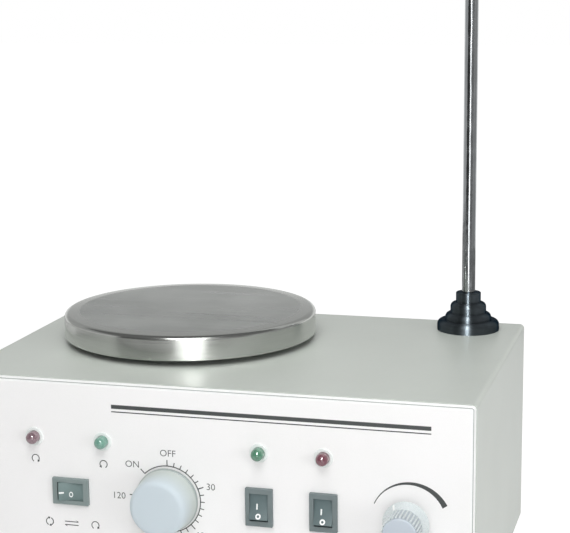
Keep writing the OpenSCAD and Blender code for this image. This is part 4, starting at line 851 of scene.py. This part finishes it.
def make_rockers():
    make_rocker("direction", level=True, tilt=ROCKER_TILT, nylon=ROCKER_NYLON, marks=[
        bar_mark(x=-0.6, y=5.4, width=0.95, length=2.6),
        ring_mark(x=-1.7, y=0.2, radius=1.6, line=0.6, narrow=0.7, turn=90)])
    for name in ("stir", "heat"):
        make_rocker(name, level=False, tilt=-ROCKER_TILT, nylon=SHADED_ROCKER_NYLON, marks=[
            bar_mark(x=-1.0, y=0.0, width=0.8, length=3.1),
            ring_mark(x=-0.05, y=-5.15, radius=1.5, line=0.8)])


# Lamp rings

LAMP_BORE_R = 3.4
LAMP_BARREL_R = 4.1
LAMP_BARREL_DEEP = 12
LAMP_FLANGE_R = 5.1
LAMP_FLANGE_T = 0.8
LAMP_FLANGE_EASE = 0.4
LAMP_MOUTH_EASE = 0.2
LAMP_MOUTH_FLARE = 0.05


def make_lamp_rings():
    profile = eased([(LAMP_BORE_R, -LAMP_BARREL_DEEP), (LAMP_BARREL_R, -LAMP_BARREL_DEEP), (LAMP_BARREL_R, 0),
                     (LAMP_FLANGE_R, 0), (LAMP_FLANGE_R, LAMP_FLANGE_T, LAMP_FLANGE_EASE),
                     (LAMP_BORE_R + LAMP_MOUTH_FLARE, LAMP_FLANGE_T, LAMP_MOUTH_EASE),
                     (LAMP_BORE_R, LAMP_FLANGE_T / 2), (LAMP_BORE_R, -LAMP_BARREL_DEEP)])
    made = bmesh.new()
    for lamp in ("forward_lamp", "reverse_lamp", "stir_lamp", "heat_lamp"):
        low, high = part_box(lamp)
        merge(made, turned(profile, turns=64), on_front((low.x + high.x) / 2, (low.z + high.z) / 2))
    add_piece("lamp_rings", made, [FINISH["clear_plastic"]], "chassis", ["lamp_bezels"])


# Timer dial, about the knob's axis: a line from ON round to 120, a tick every five minutes, and its words

DIAL_R = 18.5
DIAL_LINE = 0.55
DIAL_ON = -44           # degrees from OFF, which is at the top
HALF_HOUR = 68
HALF_HOURS = 4
DIAL_END = HALF_HOUR * HALF_HOURS
DIAL_STEPS = 180
TICK_START = 0.2        # short ticks start this far outside the middle of the line
TICK_LENGTH = 2.2
TICK_W = 0.5
LONG_TICK_LENGTH = 3.4
LONG_TICK_W = 0.55
TICK_SHARE = 0.9        # ticks are slightly thinner than the line, so that their faces don't lie in one plane
LETTER_H = 3.6
DIAL_WORDS = (("ON", -20.0, 18.1), ("OFF", 0.55, 25.6), ("30", 24.5, 8.7), ("60", 17.9, -19.1),
              ("90", -11.3, -24.2), ("120", -27.7, -0.2))


def make_dial_print():
    axis = AXIS["timer_turn"]
    place = on_front(axis.x, axis.z)
    made = printed(arc((0, 0), DIAL_R + DIAL_LINE / 2, DIAL_ON, DIAL_END, DIAL_STEPS)
                   + arc((0, 0), DIAL_R - DIAL_LINE / 2, DIAL_END, DIAL_ON, DIAL_STEPS))
    made.transform(place)
    ticks = dial_tick_tree()
    for radius, length, width, start, step, count in (
            (DIAL_R + TICK_START, TICK_LENGTH, TICK_W, 0, HALF_HOUR / 6, 6 * HALF_HOURS + 1),
            (DIAL_R, LONG_TICK_LENGTH, LONG_TICK_W, 0, HALF_HOUR, HALF_HOURS + 1),
            (DIAL_R, LONG_TICK_LENGTH, LONG_TICK_W, DIAL_ON, 0, 1)):
        bars = from_tree("timer_ticks", ticks, {
            "Radius": radius * MM, "Length": length * MM, "Width": width * MM,
            "Thickness": 2 * PRINT_T * MM * TICK_SHARE, "Count": count, "Start": math.radians(-start),
            "Step": math.radians(-step), "Finish": INK})
        merge(made, bars, place)
    for text, x, y in DIAL_WORDS:
        merge(made, lettering(text, LETTER_H), place @ Matrix.Translation((x * MM, y * MM, 0)))
    add_piece("timer_dial_print", made, [INK], "chassis")


# Speed sweep, about the knob's axis: it widens, because its two arcs have centres of their own

SWEEP_OUTER = dict(centre=(1.9, -0.15), radius=21.5, start=-66.5, end=61.1)
SWEEP_INNER = dict(centre=(0.5, 0.3), radius=19.56, start=65.0, end=-66.2)


def make_speed_print():
    axis = AXIS["speed_turn"]
    made = printed(arc(**SWEEP_OUTER) + arc(**SWEEP_INNER))
    made.transform(on_front(axis.x, axis.z))
    add_piece("speed_sweep_print", made, [INK], "chassis")


# Signs on the front, about the film's middle: two rules, and arrows at the direction lamps and their switch

RULE_LEFT = -52.6
RULE_RIGHT = 121.9
BROAD_RULE = (46.4, 48.6)
FINE_RULE = (44.4, 45.0)
SIGN_R = 2.1
SIGN_LINE = 0.5
SIGN_HEAD = 1.3                 # length of an arrow's head
SIGN_HEAD_SHARE = 0.6           # its half width, as a share of its length
FORWARD_SIGN = (-98, 15.2)
REVERSE_SIGN = (-58, 14.8)
BOTH_WAYS_SIGN = (-91, -20.6)
ONE_WAY_SIGN = (-64, -20.6)
ONE_TURN = (-150, 120)          # the angles of a single round arrow
HALF_TURNS = ((20, 160), (200, 340))
SWAP_LEFT = -82                 # a pair of straight arrows, each with one barb
SWAP_RIGHT = -74
SWAP_UPPER = (-20.0, -19.5)     # from the side without the barb to the side with it
SWAP_LOWER = (-21.4, -21.9)
BARB_LENGTH = 1.8
BARB_H = 0.9


def round_arrow(centre, start, end):
    """A round arrow on a dial's angles, whose head points the way from start to end."""
    sense = 1 if end > start else -1
    tip = math.radians(end)
    spot = Vector((math.sin(tip), math.cos(tip)))
    ahead = Vector((math.cos(tip), -math.sin(tip))) * sense
    middle = Vector(centre) + spot * SIGN_R
    wide = spot * SIGN_HEAD * SIGN_HEAD_SHARE
    stroke = printed(arc(centre, SIGN_R + SIGN_LINE / 2, start, end, steps=24)
                     + arc(centre, SIGN_R - SIGN_LINE / 2, end, start, steps=24))
    merge(stroke, printed([middle + wide, middle - wide, middle + ahead * SIGN_HEAD]))
    return stroke


def straight_arrow(tail, tip, plain_side, barb_side):
    """A level arrow between two places, with one barb at its tip."""
    back = math.copysign(BARB_LENGTH, tail - tip)
    out = math.copysign(BARB_H, barb_side - plain_side)
    stroke = printed(rectangle(tail, plain_side, tip, barb_side))
    merge(stroke, printed([(tip, plain_side), (tip, barb_side), (tip + back, barb_side + out)]))
    return stroke


def make_front_print():
    low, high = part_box("panel_overlay")
    signs = [printed(rectangle(RULE_LEFT, low_edge, RULE_RIGHT, high_edge))
             for low_edge, high_edge in (BROAD_RULE, FINE_RULE)]
    signs += [round_arrow(FORWARD_SIGN, *ONE_TURN), round_arrow(REVERSE_SIGN, *(-a for a in ONE_TURN))]
    signs += [round_arrow(BOTH_WAYS_SIGN, *half) for half in HALF_TURNS]
    signs += [round_arrow(ONE_WAY_SIGN, *ONE_TURN)]
    signs += [straight_arrow(SWAP_LEFT, SWAP_RIGHT, *SWAP_UPPER),
              straight_arrow(SWAP_RIGHT, SWAP_LEFT, *SWAP_LOWER)]
    made = bmesh.new()
    for sign in signs:
        merge(made, sign)
    made.transform(on_front((low.x + high.x) / 2, (low.z + high.z) / 2))
    add_piece("front_print", made, [INK], "chassis")


# Border: a fine grey line on the bare panel, just inside its bevel

BORDER_INSET = 0.9
BORDER_LINE = 0.45
BORDER_CORNER_R = 1.3


def round_cornered(x, z, radius):
    """A rectangle with round corners, whose middles are x and z away from its own."""
    middles = ((x, z), (x, -z), (-x, -z), (-x, z))
    return [p for i, middle in enumerate(middles) for p in arc(middle, radius, 90 * i, 90 * i + 90, steps=8)]


def make_border_line():
    low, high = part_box("front_panel")
    x = (high.x - low.x) / 2 / MM - BORDER_INSET - BORDER_CORNER_R
    z = (high.z - low.z) / 2 / MM - BORDER_INSET - BORDER_CORNER_R
    outer = round_cornered(x, z, BORDER_CORNER_R)
    inner = round_cornered(x, z, BORDER_CORNER_R - BORDER_LINE)
    made = loft([[(*p, height) for p in loop] for loop, height in (
        (outer, -PRINT_SUNK), (outer, PRINT_T), (inner, PRINT_T), (inner, -PRINT_SUNK))], ends=False)
    made.transform(on_front((low.x + high.x) / 2, (low.z + high.z) / 2, low.y))
    add_piece("border_line", made, [PALE_LINE_FINISH], "chassis")


make_hotplate()
make_timer_knob()
make_speed_knob()
make_rockers()
make_lamp_rings()
make_dial_print()
make_speed_print()
make_front_print()
make_border_line()
